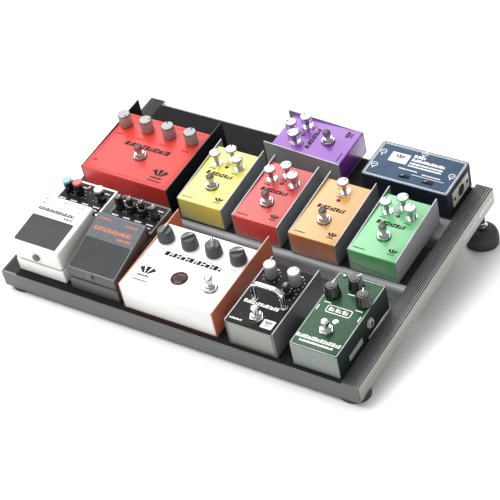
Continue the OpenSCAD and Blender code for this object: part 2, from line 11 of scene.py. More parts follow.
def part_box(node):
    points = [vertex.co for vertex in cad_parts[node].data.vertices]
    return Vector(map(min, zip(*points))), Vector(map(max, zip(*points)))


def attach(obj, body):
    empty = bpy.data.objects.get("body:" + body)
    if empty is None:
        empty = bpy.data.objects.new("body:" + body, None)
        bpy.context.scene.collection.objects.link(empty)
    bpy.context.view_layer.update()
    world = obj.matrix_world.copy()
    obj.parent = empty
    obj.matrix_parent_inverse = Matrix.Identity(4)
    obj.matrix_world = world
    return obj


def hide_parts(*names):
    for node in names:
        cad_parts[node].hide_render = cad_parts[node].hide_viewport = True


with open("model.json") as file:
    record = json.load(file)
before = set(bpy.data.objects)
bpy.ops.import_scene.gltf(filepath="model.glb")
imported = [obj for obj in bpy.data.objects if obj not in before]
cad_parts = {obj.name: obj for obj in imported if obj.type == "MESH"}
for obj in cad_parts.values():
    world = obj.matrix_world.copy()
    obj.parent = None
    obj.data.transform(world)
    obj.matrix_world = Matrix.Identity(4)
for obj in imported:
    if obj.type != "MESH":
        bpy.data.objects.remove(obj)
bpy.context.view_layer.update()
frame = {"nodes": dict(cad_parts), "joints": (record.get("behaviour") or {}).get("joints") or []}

# ---------- The frame of reference ----------

MM = 0.001
SCENE = bpy.context.scene
JOINTS = {j["name"]: j for j in frame["joints"]}
NORMAL = Vector(JOINTS["foot_left_height"]["axis"])
RAKE = math.atan2(-NORMAL.y, NORMAL.z)
TILT = Matrix.Rotation(RAKE, 4, "X")
UNTILT = TILT.inverted()
QUARTER = Matrix.Rotation(math.pi / 2, 4, "Z")
SHEET = 1.6  # a folded pedal's cheek and the gap beside it, mm


def level_points(node):
    """A CAD node's points in the board's own axes, in mm."""
    return [(UNTILT @ v.co) / MM for v in frame["nodes"][node].data.vertices]


def corners(points):
    low = Vector([min(p[i] for p in points) for i in range(3)])
    high = Vector([max(p[i] for p in points) for i in range(3)])
    return low, high


class Pedal:
    """Where one pedal stands and how its top plate slopes, read from its CAD cover or case."""

    def __init__(self, name, node, inset=0.0, turned=False):
        points = level_points(node)
        low, high = corners(points)
        origin = Vector((high.x if turned else low.x - inset, low.y, low.z - inset))
        if turned:
            origin.y = low.y - inset
        turn = QUARTER if turned else Matrix.Identity(4)
        self.name = name
        self.node = node
        self.place = TILT @ Matrix.Translation(origin * MM) @ turn @ Matrix.Scale(MM, 4)
        self.back = self.place.inverted()
        local = [turn.inverted() @ (p - origin) for p in points]
        self.low, self.high = corners(local)
        self.width = self.high.x + inset
        self.depth = self.high.y
        self.front_z = max(p.z for p in local if p.y < 1)
        self.rear_z = max(p.z for p in local if p.y > self.depth - 1)

    def z(self, y):
        """Height of the top plate at a depth."""
        return self.front_z + (self.rear_z - self.front_z) * y / self.depth

    def centre(self, node):
        """Centre of another CAD node's box, in this pedal's own millimetres."""
        points = [self.back @ v.co for v in frame["nodes"][node].data.vertices]
        low, high = corners(points)
        return (low + high) / 2


# ---------- Materials ----------


def node_graph(name):
    made = bpy.data.materials.new(name)
    made.use_nodes = True
    graph = made.node_tree
    return made, graph, graph.nodes["Principled BSDF"]


def add(graph, kind, **values):
    node = graph.nodes.new(kind)
    for key, value in values.items():
        if key in node.inputs:
            node.inputs[key].default_value = value
        else:
            setattr(node, key, value)
    return node


def object_points(graph, stretch):
    """Object coordinates, squeezed along chosen axes."""
    coordinates = add(graph, "ShaderNodeTexCoord")
    mapping = add(graph, "ShaderNodeMapping", Scale=stretch)
    graph.links.new(coordinates.outputs["Object"], mapping.inputs["Vector"])
    return mapping.outputs["Vector"]


def shade_of(colour, factor):
    return [min(1.0, c * factor) for c in colour[:3]] + [1.0]


def material(name, colour, rough=0.4, metal=0.0, coat=0.0, sheen=0.0, clear=0.0, vary=0.08,
             spread=0.08, patch=60, grain=1800, bump=0.15, relief=0.0001, stretch=(1, 1, 1),
             cells=False, specks=None, glow=0.0, reflect=0.5, ior=1.5):
    """A procedural finish: broad tone patches, a fine surface grain, and varied roughness."""
    made, graph, shader = node_graph(name)
    link = graph.links.new
    points = object_points(graph, stretch)
    patches = add(graph, "ShaderNodeTexNoise", Scale=patch, Detail=3.0, Roughness=0.6)
    fine = add(graph, "ShaderNodeTexVoronoi" if cells else "ShaderNodeTexNoise", Scale=grain)
    for node in (patches, fine):
        link(points, node.inputs["Vector"])
    fine_out = fine.outputs["Distance" if cells else "Fac"]
    ramp = add(graph, "ShaderNodeValToRGB")
    ramp.color_ramp.elements[0].position = 0.3
    ramp.color_ramp.elements[0].color = shade_of(colour, 1 - vary)
    ramp.color_ramp.elements[1].position = 0.7
    ramp.color_ramp.elements[1].color = shade_of(colour, 1 + vary)
    link(patches.outputs["Fac"], ramp.inputs["Fac"])
    tone = ramp.outputs["Color"]
    if specks:
        speck_colour, amount = specks
        sharp = add(graph, "ShaderNodeTexNoise", Scale=grain * 0.45, Detail=1.0)
        gate = add(graph, "ShaderNodeValToRGB")
        gate.color_ramp.elements[0].position = 1 - amount
        gate.color_ramp.elements[1].position = 1.04 - amount
        mix = add(graph, "ShaderNodeMix", data_type="RGBA")
        mix.inputs[7].default_value = [*speck_colour, 1.0]
        link(points, sharp.inputs["Vector"])
        link(sharp.outputs["Fac"], gate.inputs["Fac"])
        link(gate.outputs["Color"], mix.inputs[0])
        link(tone, mix.inputs[6])
        tone = mix.outputs[2]
    link(tone, shader.inputs["Base Color"])
    gloss = add(graph, "ShaderNodeMapRange")
    gloss.inputs["To Min"].default_value = max(0.02, rough - spread)
    gloss.inputs["To Max"].default_value = min(1.0, rough + spread)
    link(fine_out, gloss.inputs["Value"])
    link(gloss.outputs["Result"], shader.inputs["Roughness"])
    raised = add(graph, "ShaderNodeBump", Strength=bump, Distance=relief)
    link(fine_out, raised.inputs["Height"])
    link(raised.outputs["Normal"], shader.inputs["Normal"])
    shader.inputs["Metallic"].default_value = metal
    shader.inputs["Coat Weight"].default_value = coat
    shader.inputs["Coat Roughness"].default_value = 0.08
    shader.inputs["Sheen Weight"].default_value = sheen
    shader.inputs["Transmission Weight"].default_value = clear
    shader.inputs["Specular IOR Level"].default_value = reflect
    shader.inputs["IOR"].default_value = ior
    if glow:
        shader.inputs["Emission Color"].default_value = [*colour, 1.0]
        shader.inputs["Emission Strength"].default_value = glow
    return made


def enamel(name, colour, **more):
    """Powder coated sheet metal: satin, with a fine orange peel."""
    values = {"rough": 0.34, "coat": 0.2, "vary": 0.03, "grain": 1400, "bump": 0.1} | more
    return material(name, colour, **values)


def brushed(name, colour, stretch, rough=0.36, **more):
    """Anodised aluminium, brushed along the axis that the stretch leaves long."""
    values = {"metal": 0.85, "vary": 0.1, "patch": 500, "grain": 1500, "bump": 0.25} | more
    return material(name, colour, rough=rough, stretch=stretch, **values)


ALONG_X = (0.02, 1, 1)
ALONG_Y = (1, 0.02, 1)
DULL = {"coat": 0.0, "reflect": 0.12, "rough": 0.5}
M = {
    "rail_face": brushed("rail_face", (0.14, 0.14, 0.138), ALONG_X, rough=0.55, metal=0.25, bump=0.06),
    "rail_side": brushed("rail_side", (0.44, 0.44, 0.405), ALONG_Y, rough=0.45, metal=0.4, bump=0.1),
    # painted shade: a darker copy of the rib finish, for the left rail's top
    "rail_rib_painted_shade": brushed("rail_rib_painted_shade", (0.045, 0.045, 0.046), ALONG_Y, rough=0.5, metal=0.3, bump=0.1),
    "rail_rib": brushed("rail_rib", (0.20, 0.20, 0.205), ALONG_Y, rough=0.42, metal=0.55, bump=0.1),
    # painted shade: a near-black copy of the rail finish for the floors and walls of the rail grooves
    "groove": material("groove", (0.004, 0.004, 0.004), rough=0.9, reflect=0.05),
    "bar": brushed("bar", (0.27, 0.272, 0.28), ALONG_X, rough=0.55, metal=0.25, bump=0.04, vary=0.05),
    "loop": material("loop", (0.017, 0.017, 0.018), rough=0.95, sheen=0.02, vary=0.6, patch=900,
                     grain=2600, bump=0.9, relief=0.0006, reflect=0.04),
    "rubber": material("rubber", (0.05, 0.05, 0.05), rough=0.6, vary=0.15, bump=0.4, reflect=0.3),
    "steel": material("steel", (0.80, 0.80, 0.80), rough=0.1, metal=1.0, spread=0.04, bump=0.02),
    "dark_steel": material("dark_steel", (0.05, 0.05, 0.052), rough=0.35, metal=0.6, bump=0.1),
    "bare_edge": material("bare_edge", (0.40, 0.40, 0.41), rough=0.45, metal=0.3, bump=0.2),
    "brown_edge": material("brown_edge", (0.62, 0.30, 0.22), rough=0.45, bump=0.2),
    "black_edge": material("black_edge", (0.03, 0.03, 0.032), rough=0.45, bump=0.2, reflect=0.3),
    "white": enamel("white", (0.84, 0.84, 0.83), vary=0.02),
    "cream": enamel("cream", (0.80, 0.795, 0.755), rough=0.3, vary=0.02),
    "graphite": enamel("graphite", (0.105, 0.105, 0.106), metal=0.3, rough=0.42, coat=0.0, reflect=0.3),
    "slate": enamel("slate", (0.075, 0.083, 0.097), rough=0.45, reflect=0.3, coat=0.0, vary=0.12, patch=160),
    "red": enamel("red", (0.56, 0.042, 0.035), coat=0.0, reflect=0.35),
    "yellow": enamel("yellow", (0.66, 0.60, 0.11), coat=0.8),
    "small_red": enamel("small_red", (0.50, 0.045, 0.04), coat=0.3),
    "orange": enamel("orange", (0.46, 0.155, 0.052), coat=1.0),
    "green": enamel("green", (0.068, 0.33, 0.095), coat=1.0),
    "purple": enamel("purple", (0.20, 0.046, 0.36), coat=0.5),
    "orange_top": enamel("orange_top", (0.56, 0.285, 0.078), coat=0.7),
    "green_top": enamel("green_top", (0.12, 0.42, 0.175), coat=0.7),
    "black": enamel("black", (0.007, 0.008, 0.008), specks=((0.05, 0.05, 0.05), 0.36), **DULL),
    "silver_face": enamel("silver_face", (0.30, 0.30, 0.275), metal=0.25, rough=0.45, coat=0.0),
    "sparkle": enamel("sparkle", (0.012, 0.060, 0.024), grain=2200, specks=((0.045, 0.13, 0.065), 0.40),
                      coat=0.1, rough=0.35, reflect=0.2),
    # painted reflection: a pale copy of the green sparkle finish, for the delay's front face
    "sparkle_painted_reflection": enamel("sparkle_painted_reflection", (0.225, 0.26, 0.235), grain=2200, coat=0.1, rough=0.35),
    # painted shade: a darker copy of the green sparkle finish, for the delay's sides
    "sparkle_painted_shade": enamel("sparkle_painted_shade", (0.014, 0.024, 0.02), grain=2200, **DULL),
    "navy": enamel("navy", (0.010, 0.013, 0.024), **DULL),
    "blue": enamel("blue", (0.036, 0.068, 0.118), vary=0.15, rough=0.45, cells=True, grain=900, coat=0.0,
                   reflect=0.15),
    "cheek": enamel("cheek", (0.28, 0.288, 0.30), cells=True, grain=1300, rough=0.45, bump=0.25, coat=0.0,
                    reflect=0.3, metal=0.2),
    "dark_cheek": enamel("dark_cheek", (0.22, 0.225, 0.235), cells=True, grain=1300, rough=0.42, bump=0.25,
                         coat=0.0, reflect=0.3, metal=0.3),
    "black_cheek": enamel("black_cheek", (0.008, 0.010, 0.011), **DULL),
    "brown_cheek": enamel("brown_cheek", (0.56, 0.16, 0.085), coat=0.0, reflect=0.3),
    "base": material("base", (0.03, 0.03, 0.033), rough=0.5, metal=0.5),
    "circuit": material("circuit", (0.02, 0.16, 0.05), rough=0.35, patch=300, vary=0.3),
    "acrylic": material("acrylic", (0.97, 0.97, 0.98), rough=0.04, clear=1.0, spread=0.02, vary=0.01,
                        bump=0.02, ior=1.3, reflect=0.8),
    "cap": material("cap", (0.40, 0.40, 0.405), rough=0.3, metal=0.8, vary=0.06, bump=0.05),
    "turned": material("turned", (0.42, 0.415, 0.41), rough=0.28, metal=0.85, bump=0.1, vary=0.06),
    "lead_cap": material("lead_cap", (0.21, 0.21, 0.212), rough=0.22, metal=0.9, vary=0.1, bump=0.1),
    "white_cap": material("white_cap", (0.66, 0.66, 0.655), rough=0.35, vary=0.04, bump=0.05),
    "switch_top": material("switch_top", (0.075, 0.075, 0.078), rough=0.45, metal=0.5, bump=0.1),
    "chrome": material("chrome", (0.50, 0.50, 0.505), rough=0.08, metal=1.0, spread=0.03, bump=0.02),
    # satin grey knob body, with a pink tint that is a painted reflection of the red plate
    "frosted_painted_pink_reflection": material("frosted_painted_pink_reflection", (0.42, 0.395, 0.385), rough=0.35, metal=0.2, bump=0.1, vary=0.06),
    "phenolic": material("phenolic", (0.075, 0.076, 0.080), rough=0.45, vary=0.1, bump=0.2, reflect=0.3),
    "phenolic_top": material("phenolic_top", (0.10, 0.10, 0.105), rough=0.4, vary=0.1, bump=0.2),
    "gloss_black": material("gloss_black", (0.006, 0.006, 0.007), rough=0.14, coat=0.5, bump=0.03),
    "recess": material("recess", (0.008, 0.008, 0.009), rough=0.5, bump=0.2, reflect=0.15),
    "pad": material("pad", (0.062, 0.062, 0.063), rough=0.65, grain=2600, cells=True, bump=0.55,
                    relief=0.0002, vary=0.12, reflect=0.2),
    "dark_pad": material("dark_pad", (0.042, 0.043, 0.045), rough=0.6, grain=2600, cells=True, bump=0.5,
                         relief=0.0002, vary=0.12, reflect=0.25),
    "ink": material("ink", (0.008, 0.006, 0.006), rough=0.5, vary=0.2, reflect=0.15),
    "white_ink": material("white_ink", (0.80, 0.80, 0.79), rough=0.45, vary=0.05),
    "pale_ink": material("pale_ink", (0.30, 0.30, 0.305), rough=0.5, vary=0.1),
    "faint_ink": material("faint_ink", (0.42, 0.42, 0.425), rough=0.5, vary=0.1),
    "orange_ink": material("orange_ink", (0.42, 0.105, 0.05), rough=0.45, vary=0.25, patch=300),
    "rose_ink": material("rose_ink", (0.30, 0.012, 0.012), rough=0.45, vary=0.1, reflect=0.2),
    "teal": material("teal", (0.20, 0.50, 0.45), rough=0.3, vary=0.06),
    "pink": material("pink", (0.60, 0.10, 0.10), rough=0.3, vary=0.06),
    "lamp": material("lamp", (0.28, 0.03, 0.015), rough=0.12, coat=1.0, vary=0.15, glow=0.1),
    "clear_lamp": material("clear_lamp", (0.75, 0.75, 0.73), rough=0.15, coat=1.0, vary=0.05),
    "pink_lamp": material("pink_lamp", (0.45, 0.05, 0.22), rough=0.15, coat=1.0, vary=0.1, glow=0.1),
    "lens": material("lens", (0.035, 0.005, 0.006), rough=0.2, coat=0.2, vary=0.6, patch=320, reflect=0.2),
    "plate_steel": material("plate_steel", (0.50, 0.475, 0.42), rough=0.42, metal=0.3, vary=0.1, patch=300),
    "brass": material("brass", (0.50, 0.36, 0.16), rough=0.3, metal=0.9, vary=0.1),
    "dark_metal": material("dark_metal", (0.03, 0.026, 0.02), rough=0.4, metal=0.4, reflect=0.3),
    "label": material("label", (0.40, 0.41, 0.42), rough=0.45, vary=0.1),
    "thumb": material("thumb", (0.13, 0.13, 0.135), rough=0.4, metal=0.4, bump=0.2),
}

# ---------- Mesh building ----------


def rectangle(x0, y0, x1, y1):
    return [(x0, y0), (x1, y0), (x1, y1), (x0, y1)]


def rounded(outline, radii, steps=5):
    """A closed outline with an arc at each corner; radii is one number or one for each corner."""
    count = len(outline)
    if not hasattr(radii, "__len__"):
        radii = [radii] * count
    made = []
    for i, radius in enumerate(radii):
        at = Vector(outline[i])
        back = (Vector(outline[i - 1]) - at).normalized()
        ahead = (Vector(outline[(i + 1) % count]) - at).normalized()
        half = back.angle(ahead) / 2
        if radius <= 0:
            made.append(tuple(at))
            continue
        centre = at + (back + ahead).normalized() * radius / math.sin(half)
        start = at + back * radius / math.tan(half) - centre
        end = at + ahead * radius / math.tan(half) - centre
        swing = start.angle_signed(end)
        for k in range(steps + 1):
            spun = start.copy()
            spun.rotate(Matrix.Rotation(-swing * k / steps, 2))
            made.append(tuple(centre + spun))
    return made


def prism(bm, outline, low, high, axes="yzx", mat=0):
    """A solid with an outline in the first two axes, drawn out along the third."""
    order = ["xyz".index(a) for a in axes]

    def corner(point, along):
        at = [0.0, 0.0, 0.0]
        for axis, value in zip(order, (*point, along)):
            at[axis] = value
        return bm.verts.new(at)

    ends = [[corner(p, along) for p in outline] for along in (low, high)]
    faces = [bm.faces.new(ring) for ring in ends]
    for i in range(len(outline)):
        faces.append(bm.faces.new((ends[0][i - 1], ends[0][i], ends[1][i], ends[1][i - 1])))
    for face in faces:
        face.material_index = mat
    return faces


def band(bm, outer, inner, low, high, mat=0):
    """A closed ring between two outlines of equal length in X and Y."""
    rings = [[bm.verts.new((*p, z)) for p in line] for line in (outer, inner) for z in (low, high)]
    outer_low, outer_high, inner_low, inner_high = rings
    for i in range(len(outer)):
        j = i - 1
        for a, b in ((outer_low, outer_high), (outer_high, inner_high),
                     (inner_high, inner_low), (inner_low, outer_low)):
            bm.faces.new((a[j], a[i], b[i], b[j])).material_index = mat


def lathe(bm, profile, segments=40, at=(0, 0, 0), mat=0, flutes=0, depth=0.0, hollow=False):
    """Turns (radius, height) points about Z; flutes cut the outside, and hollow leaves an open bore."""
    centre = Vector(at)
    rings = []
    for radius, height in profile:
        if radius < 1e-6:
            rings.append([bm.verts.new(centre + Vector((0, 0, height)))])
            continue
        ring = []
        for k in range(segments):
            angle = 2 * math.pi * k / segments
            cut = depth * (0.5 - 0.5 * math.cos(flutes * angle)) if flutes else 0
            r = radius - cut
            ring.append(bm.verts.new(centre + Vector((r * math.cos(angle), r * math.sin(angle), height))))
        rings.append(ring)
    if hollow:
        rings.append(rings[0])
    for low, high in zip(rings, rings[1:]):
        for k in range(segments):
            j = (k + 1) % segments
            corner = [low[k % len(low)], low[j % len(low)], high[j % len(high)], high[k % len(high)]]
            unique = list(dict.fromkeys(corner))
            if len(unique) > 2:
                bm.faces.new(unique).material_index = mat
    for ring in () if hollow else (rings[0], rings[-1]):
        if len(ring) > 1:
            bm.faces.new(ring).material_index = mat


def bar(bm, a, b, width, low, high, mat=0):
    """A straight bar from a to b, seen from above."""
    a, b = Vector(a), Vector(b)
    side = (b - a).normalized().orthogonal() * width / 2
    prism(bm, [a + side, b + side, b - side, a - side], low, high, "xyz", mat)


def soften(bm, width, segments=3, angle=30):
    """Rounds every edge that is sharper than the angle."""
    bmesh.ops.remove_doubles(bm, verts=bm.verts, dist=1e-4)
    bmesh.ops.recalc_face_normals(bm, faces=bm.faces)
    edges = [e for e in bm.edges if len(e.link_faces) == 2 and e.calc_face_angle(0) > math.radians(angle)]
    bmesh.ops.bevel(bm, geom=edges, offset=width, segments=segments, profile=0.5, affect="EDGES",
                    clamp_overlap=True)


def piece(name, bm, place, body, materials, hides=(), sharp=40):
    """Makes the mesh a piece that rides on a body and may stand for CAD nodes."""
    bmesh.ops.recalc_face_normals(bm, faces=bm.faces)
    mesh = bpy.data.meshes.new(name)
    bm.to_mesh(mesh)
    bm.free()
    mesh.transform(place)
    for each in materials:
        mesh.materials.append(M[each])
    mesh.shade_smooth()
    mesh.set_sharp_from_angle(angle=math.radians(sharp))
    made = bpy.data.objects.new(name, mesh)
    SCENE.collection.objects.link(made)
    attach(made, body)
    if hides:
        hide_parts(*hides)
    return made


def dress(node, materials, width=0.3, choose=None):
    """Gives a CAD node its finish and a small round on its edges; choose sorts its faces."""
    made = frame["nodes"][node]
    mesh = made.data
    if "custom_normal" in mesh.attributes:
        mesh.attributes.remove(mesh.attributes["custom_normal"])
    mesh.materials.clear()
    for each in materials:
        mesh.materials.append(M[each])
    mesh.shade_smooth()
    for face in mesh.polygons:
        face.material_index = 0
        if choose:
            level = UNTILT @ face.center / MM
            face.material_index = choose(level, (UNTILT.to_3x3() @ face.normal))
    weld = made.modifiers.new("weld", "WELD")
    weld.merge_threshold = 1e-6
    if width:
        edge = made.modifiers.new("edge", "BEVEL")
        edge.width = width * MM
        edge.segments = 2
        edge.limit_method = "ANGLE"
        edge.angle_limit = math.radians(35)
    made.modifiers.new("normals", "WEIGHTED_NORMAL")
    return made


# ---------- Prints ----------

INK = 0.12  # thickness of a print, mm


class Print:
    """Flat marks on a pedal's top plate, gathered into one thin piece."""

    def __init__(self, pedal):
        self.pedal = pedal
        self.bm = bmesh.new()

    def line(self, a, b, width=0.6, mat=0):
        bar(self.bm, a, b, width, 0, INK, mat)

    def box(self, x0, y0, x1, y1, mat=0, radius=0.0):
        outline = rectangle(x0, y0, x1, y1)
        prism(self.bm, rounded(outline, radius, 4) if radius else outline, 0, INK, "xyz", mat)

    def border(self, x0, y0, x1, y1, width=0.8, radius=2.0, mat=0):
        outer = rounded(rectangle(x0, y0, x1, y1), radius, 4)
        inner = rounded(rectangle(x0 + width, y0 + width, x1 - width, y1 - width),
                        max(0.1, radius - width), 4)
        band(self.bm, outer, inner, 0, INK, mat)

    def ring(self, x, y, radius, width=0.6, mat=0, steps=28):
        turns = [2 * math.pi * k / steps for k in range(steps)]
        outer = [(x + radius * math.cos(t), y + radius * math.sin(t)) for t in turns]
        inner = [(x + (radius - width) * math.cos(t), y + (radius - width) * math.sin(t)) for t in turns]
        band(self.bm, outer, inner, 0, INK, mat)

    def words(self, x0, x1, y, height, mat=0, pattern=(5, 3, 4, 6, 3, 5, 4), lean=0.0):
        """A row of plain blocks of uneven width, which stands for a line of print."""
        unit = height / 6
        x = x0
        k = 0
        while True:
            width = pattern[k % len(pattern)] * unit
            if x + width > x1:
                break
            top = 0.78 if k % 3 == 1 else 1.0
            for low, high in ((0, 0.42), (0.58, top)) if k % 2 else ((0, top),):
                a, b = x + lean * low, x + lean * high
                outline = [(a, y + height * low), (a + width * 0.8, y + height * low),
                           (b + width * 0.8, y + height * high), (b, y + height * high)]
                prism(self.bm, outline, 0, INK, "xyz", mat)
            x += width
            k += 1

    def mark(self, x, y, size, mat=0):
        """A plain mark in place of a maker's: three wedges like a fan over a short bar."""
        for k in (-1, 0, 1):
            foot = Vector((x + k * size * 0.12, y - size * 0.1))
            tip = Vector((x + k * size * 0.42, y + size * (0.42 - 0.1 * abs(k))))
            side = (tip - foot).orthogonal().normalized() * size
            outline = [foot - side * 0.05, tip - side * 0.15, tip + side * 0.15, foot + side * 0.05]
            prism(self.bm, outline, 0, INK, "xyz", mat)
        self.words(x - size * 0.42, x + size * 0.45, y - size * 0.36, size * 0.15, mat, (4, 3, 5), size * 0.03)

    def ticks(self, x, y, inner, outer, width=0.5, mat=0, count=9, sweep=270):
        for k in range(count):
            t = math.radians(90 + sweep / 2 - sweep * k / (count - 1))
            way = Vector((math.cos(t), math.sin(t)))
            self.line(Vector((x, y)) + way * inner, Vector((x, y)) + way * outer, width, mat)

    def lay(self, name, materials, body="board", place=None):
        for v in self.bm.verts:
            v.co.z += self.pedal.z(v.co.y)
        return piece(name, self.bm, place or self.pedal.place, body, materials)


# ---------- Knobs, switches and lamps ----------


def pointer_place(pedal, node):
    """A knob's own frame: its axis on the plate, turned to the pointer's rest angle."""
    joint = JOINTS[node + "_turn"]
    at = pedal.back @ Vector(joint["pos_m"])
    middle = math.radians(sum(joint["range_deg"]) / 2)
    return pedal.place @ Matrix.Translation(at) @ Matrix.Rotation(-middle, 4, "Z")


def knob_size(pedal, node):
    """Radius and top of a knob above the plate, from its CAD node."""
    points = [pedal.back @ v.co for v in frame["nodes"][node].data.vertices]
    low, high = corners(points)
    at = pedal.back @ Vector(JOINTS[node + "_turn"]["pos_m"])
    return (high.x - low.x) / 2, high.z - at.z


def clear_knob(pedal, node):
    """A clear body round a thin core, with a satin cap and a dark pointer."""
    radius, top = knob_size(pedal, node)
    cap = top - 2.6
    bm = bmesh.new()
    lathe(bm, [(radius - 0.35, 0.8), (radius, 1.2), (radius, cap - 0.2), (radius - 0.2, cap - 0.02)], 48)
    lathe(bm, [(2.0, 0.9), (2.0, cap - 0.6)], 24, mat=1)
    lathe(bm, [(radius - 0.1, cap), (radius, cap + 0.3), (radius, top - 0.6),
               (radius - 0.6, top), (0, top)], 48, mat=2)
    bar(bm, (0, radius * 0.4), (0, radius * 0.86), 1.3, top, top + 0.1, mat=3)
    piece(node + "_clear", bm, pointer_place(pedal, node), node, ["acrylic", "turned", "cap", "ink"],
          [node])


def silver_knob(pedal, node):
    """A tall turned knob with a knurled body and a bright cap; the body's pink tint is a painted reflection of the red
    plate.
    """
    radius, top = knob_size(pedal, node)
    cap = top - 2.0
    bm = bmesh.new()
    lathe(bm, [(radius - 0.4, 0.8), (radius, 1.4), (radius - 0.1, cap)], 160, flutes=32, depth=0.4)
    lathe(bm, [(radius - 0.55, cap), (radius - 0.2, cap + 0.3), (radius - 0.3, top - 0.6),
               (radius - 0.9, top - 0.05), (0, top)], 56, mat=1)
    bar(bm, (0, radius * 0.45), (0, radius * 0.86), 1.4, top - 0.05, top + 0.08, mat=2)
    piece(node + "_turned", bm, pointer_place(pedal, node), node, ["frosted_painted_pink_reflection", "lead_cap", "ink"],
          [node])


def wing_knob(pedal, node):
    """A matt grey knob: a tapered fluted skirt, and a raised wing across its top."""
    radius, top = knob_size(pedal, node)
    shelf = top - 3.2
    bm = bmesh.new()
    lathe(bm, [(radius - 0.4, 0.8), (radius, 1.4), (radius - 0.1, 3.5), (radius - 1.3, shelf - 0.6),
               (radius - 1.9, shelf), (0, shelf)], 96, flutes=24, depth=0.3)
    wing = rounded(rectangle(-2.3, -radius + 2.4, 2.3, radius - 2.1), 1.6)
    prism(bm, wing, shelf - 0.2, top, "xyz", mat=1)
    bar(bm, (0, radius * 0.2), (0, radius - 2.4), 0.9, top, top + 0.1, mat=2)
    piece(node + "_wing", bm, pointer_place(pedal, node), node, ["phenolic", "phenolic_top", "white_ink"],
          [node])


def button(pedal, node, crown="switch_top", tall=8.5):
    """The button and plunger of a foot switch."""
    at = pedal.centre(node)
    points = [pedal.back @ v.co for v in frame["nodes"][node].data.vertices]
    low, high = corners(points)
    radius = (high.x - low.x) / 2
    top = high.z
    bm = bmesh.new()
    lathe(bm, [(3.98, low.z), (3.98, top - tall)], 32, at=(at.x, at.y, 0))
    dome = [(radius * math.cos(t), top - 2.2 + 2.2 * math.sin(t))
            for t in (math.radians(a) for a in range(0, 90, 15))]
    lathe(bm, [(radius - 0.7, top - tall), (radius, top - tall + 0.8), dome[0]], 40, at=(at.x, at.y, 0))
    lathe(bm, [*dome, (0, top)], 40, at=(at.x, at.y, 0), mat=1)
    piece(node + "_button", bm, pedal.place, node, ["chrome", crown], [node])


def collar(pedal, node):
    """Washer, tapered dress nut and thread round a foot switch's bush."""
    at = pedal.centre(node)
    base = pedal.z(at.y)
    bm = bmesh.new()
    lathe(bm, [(9.2, 0.05), (9.2, 0.5), (8.8, 0.58), (6.2, 0.58), (6.2, 0.05)], 48,
          at=(at.x, at.y, base), mat=1, hollow=True)
    thread = []
    for k in range(5):
        thread += [(6.35, 3.9 + k * 0.7), (6.05, 4.25 + k * 0.7)]
    lathe(bm, [(6.02, 3.85), *thread, (6.02, 7.45)], 40, at=(at.x, at.y, base), hollow=True)
    lathe(bm, [(9.3, 0.6), (9.3, 1.6), (7.0, 5.2), (6.3, 5.3), (6.3, 0.6)], 6, at=(at.x, at.y, base), hollow=True)
    piece(pedal.name + "_switch_collar", bm, pedal.place, "board", ["chrome", "dark_steel"])


def lamp(pedal, x, y, glass="lamp", radius=1.7):
    base = pedal.z(y)
    bm = bmesh.new()
    lathe(bm, [(radius + 0.9, 0.02), (radius + 0.8, 0.6), (radius + 0.2, 0.8), (radius, 0.3), (0, 0.3)], 28,
          at=(x, y, base), mat=1)
    dome = [(radius * math.cos(t), 0.3 + 1.5 * math.sin(t)) for t in (math.radians(a) for a in range(0, 90, 18))]
    lathe(bm, [*dome, (0, 1.8)], 28, at=(x, y, base))
    piece(pedal.name + "_lamp", bm, pedal.place, "board", [glass, "dark_metal"])


# ---------- Folded pedals ----------


def cover_shell(pedal, paint, front=None, bend=1.8):
    """The folded cover: front, plate and back in one sheet with round bends."""
    low = pedal.low.z
    sheet = 1.5
    depth, z0, z1 = pedal.depth, pedal.front_z, pedal.rear_z
    outer = rounded([(0, low), (0, z0), (depth, z1), (depth, low)], [0, bend, bend, 0])
    inner = rounded([(sheet, low), (sheet, z0 - sheet), (depth - sheet, z1 - sheet), (depth - sheet, low)],
                    [0, bend - sheet, bend - sheet, 0])
    bm = bmesh.new()
    prism(bm, outer + inner[::-1], SHEET, pedal.width - SHEET)
    soften(bm, 0.3, 2, 50)
    if front:
        for face in bm.faces:
            middle = face.calc_center_median()
            face.material_index = 1 if middle.y < 0.2 and abs(face.normal.y) > 0.9 else 0
    return piece(pedal.name + "_shell", bm, pedal.place, "board", [paint, front or paint], [pedal.node])


SMALL = {
    "yellow": ("yellow", "yellow", "yellow_enamel", 3),
    "red": ("small_red", "small_red", "red_enamel", 3),
    "orange": ("orange_top", "orange", "orange_enamel", 1),
    "green": ("green_top", "green", "green_enamel", 3),
    "purple": ("purple", "purple", "purple_enamel", 3),
}


def small_pedal(name):
    paint, front, slot, knobs = SMALL[name]
    pedal = Pedal(name, name + "_cover", SHEET, turned=name == "purple")
    cover_shell(pedal, paint, front)
    nodes = [f"{name}_knob_{k}" for k in (1, 2, 3)] if knobs == 3 else [name + "_knob"]
    for node in nodes:
        clear_knob(pedal, node)
    button(pedal, name + "_plunger")
    collar(pedal, name + "_plunger")
    lamp(pedal, 33, 70)
    marks = Print(pedal)
    marks.words(12, 53, 51.5, 6.0, lean=1.2)
    marks.words(5, 21, 5.8, 1.5, pattern=(4, 5, 3))
    marks.mark(54, 13.5, 12)
    for node in nodes:
        at = pedal.back @ Vector(JOINTS[node + "_turn"]["pos_m"])
        marks.words(at.x - 5, at.x + 5, at.y - 11.5, 1.4, pattern=(4, 3, 5))
    marks.lay(name + "_print", ["ink"])
    return pedal


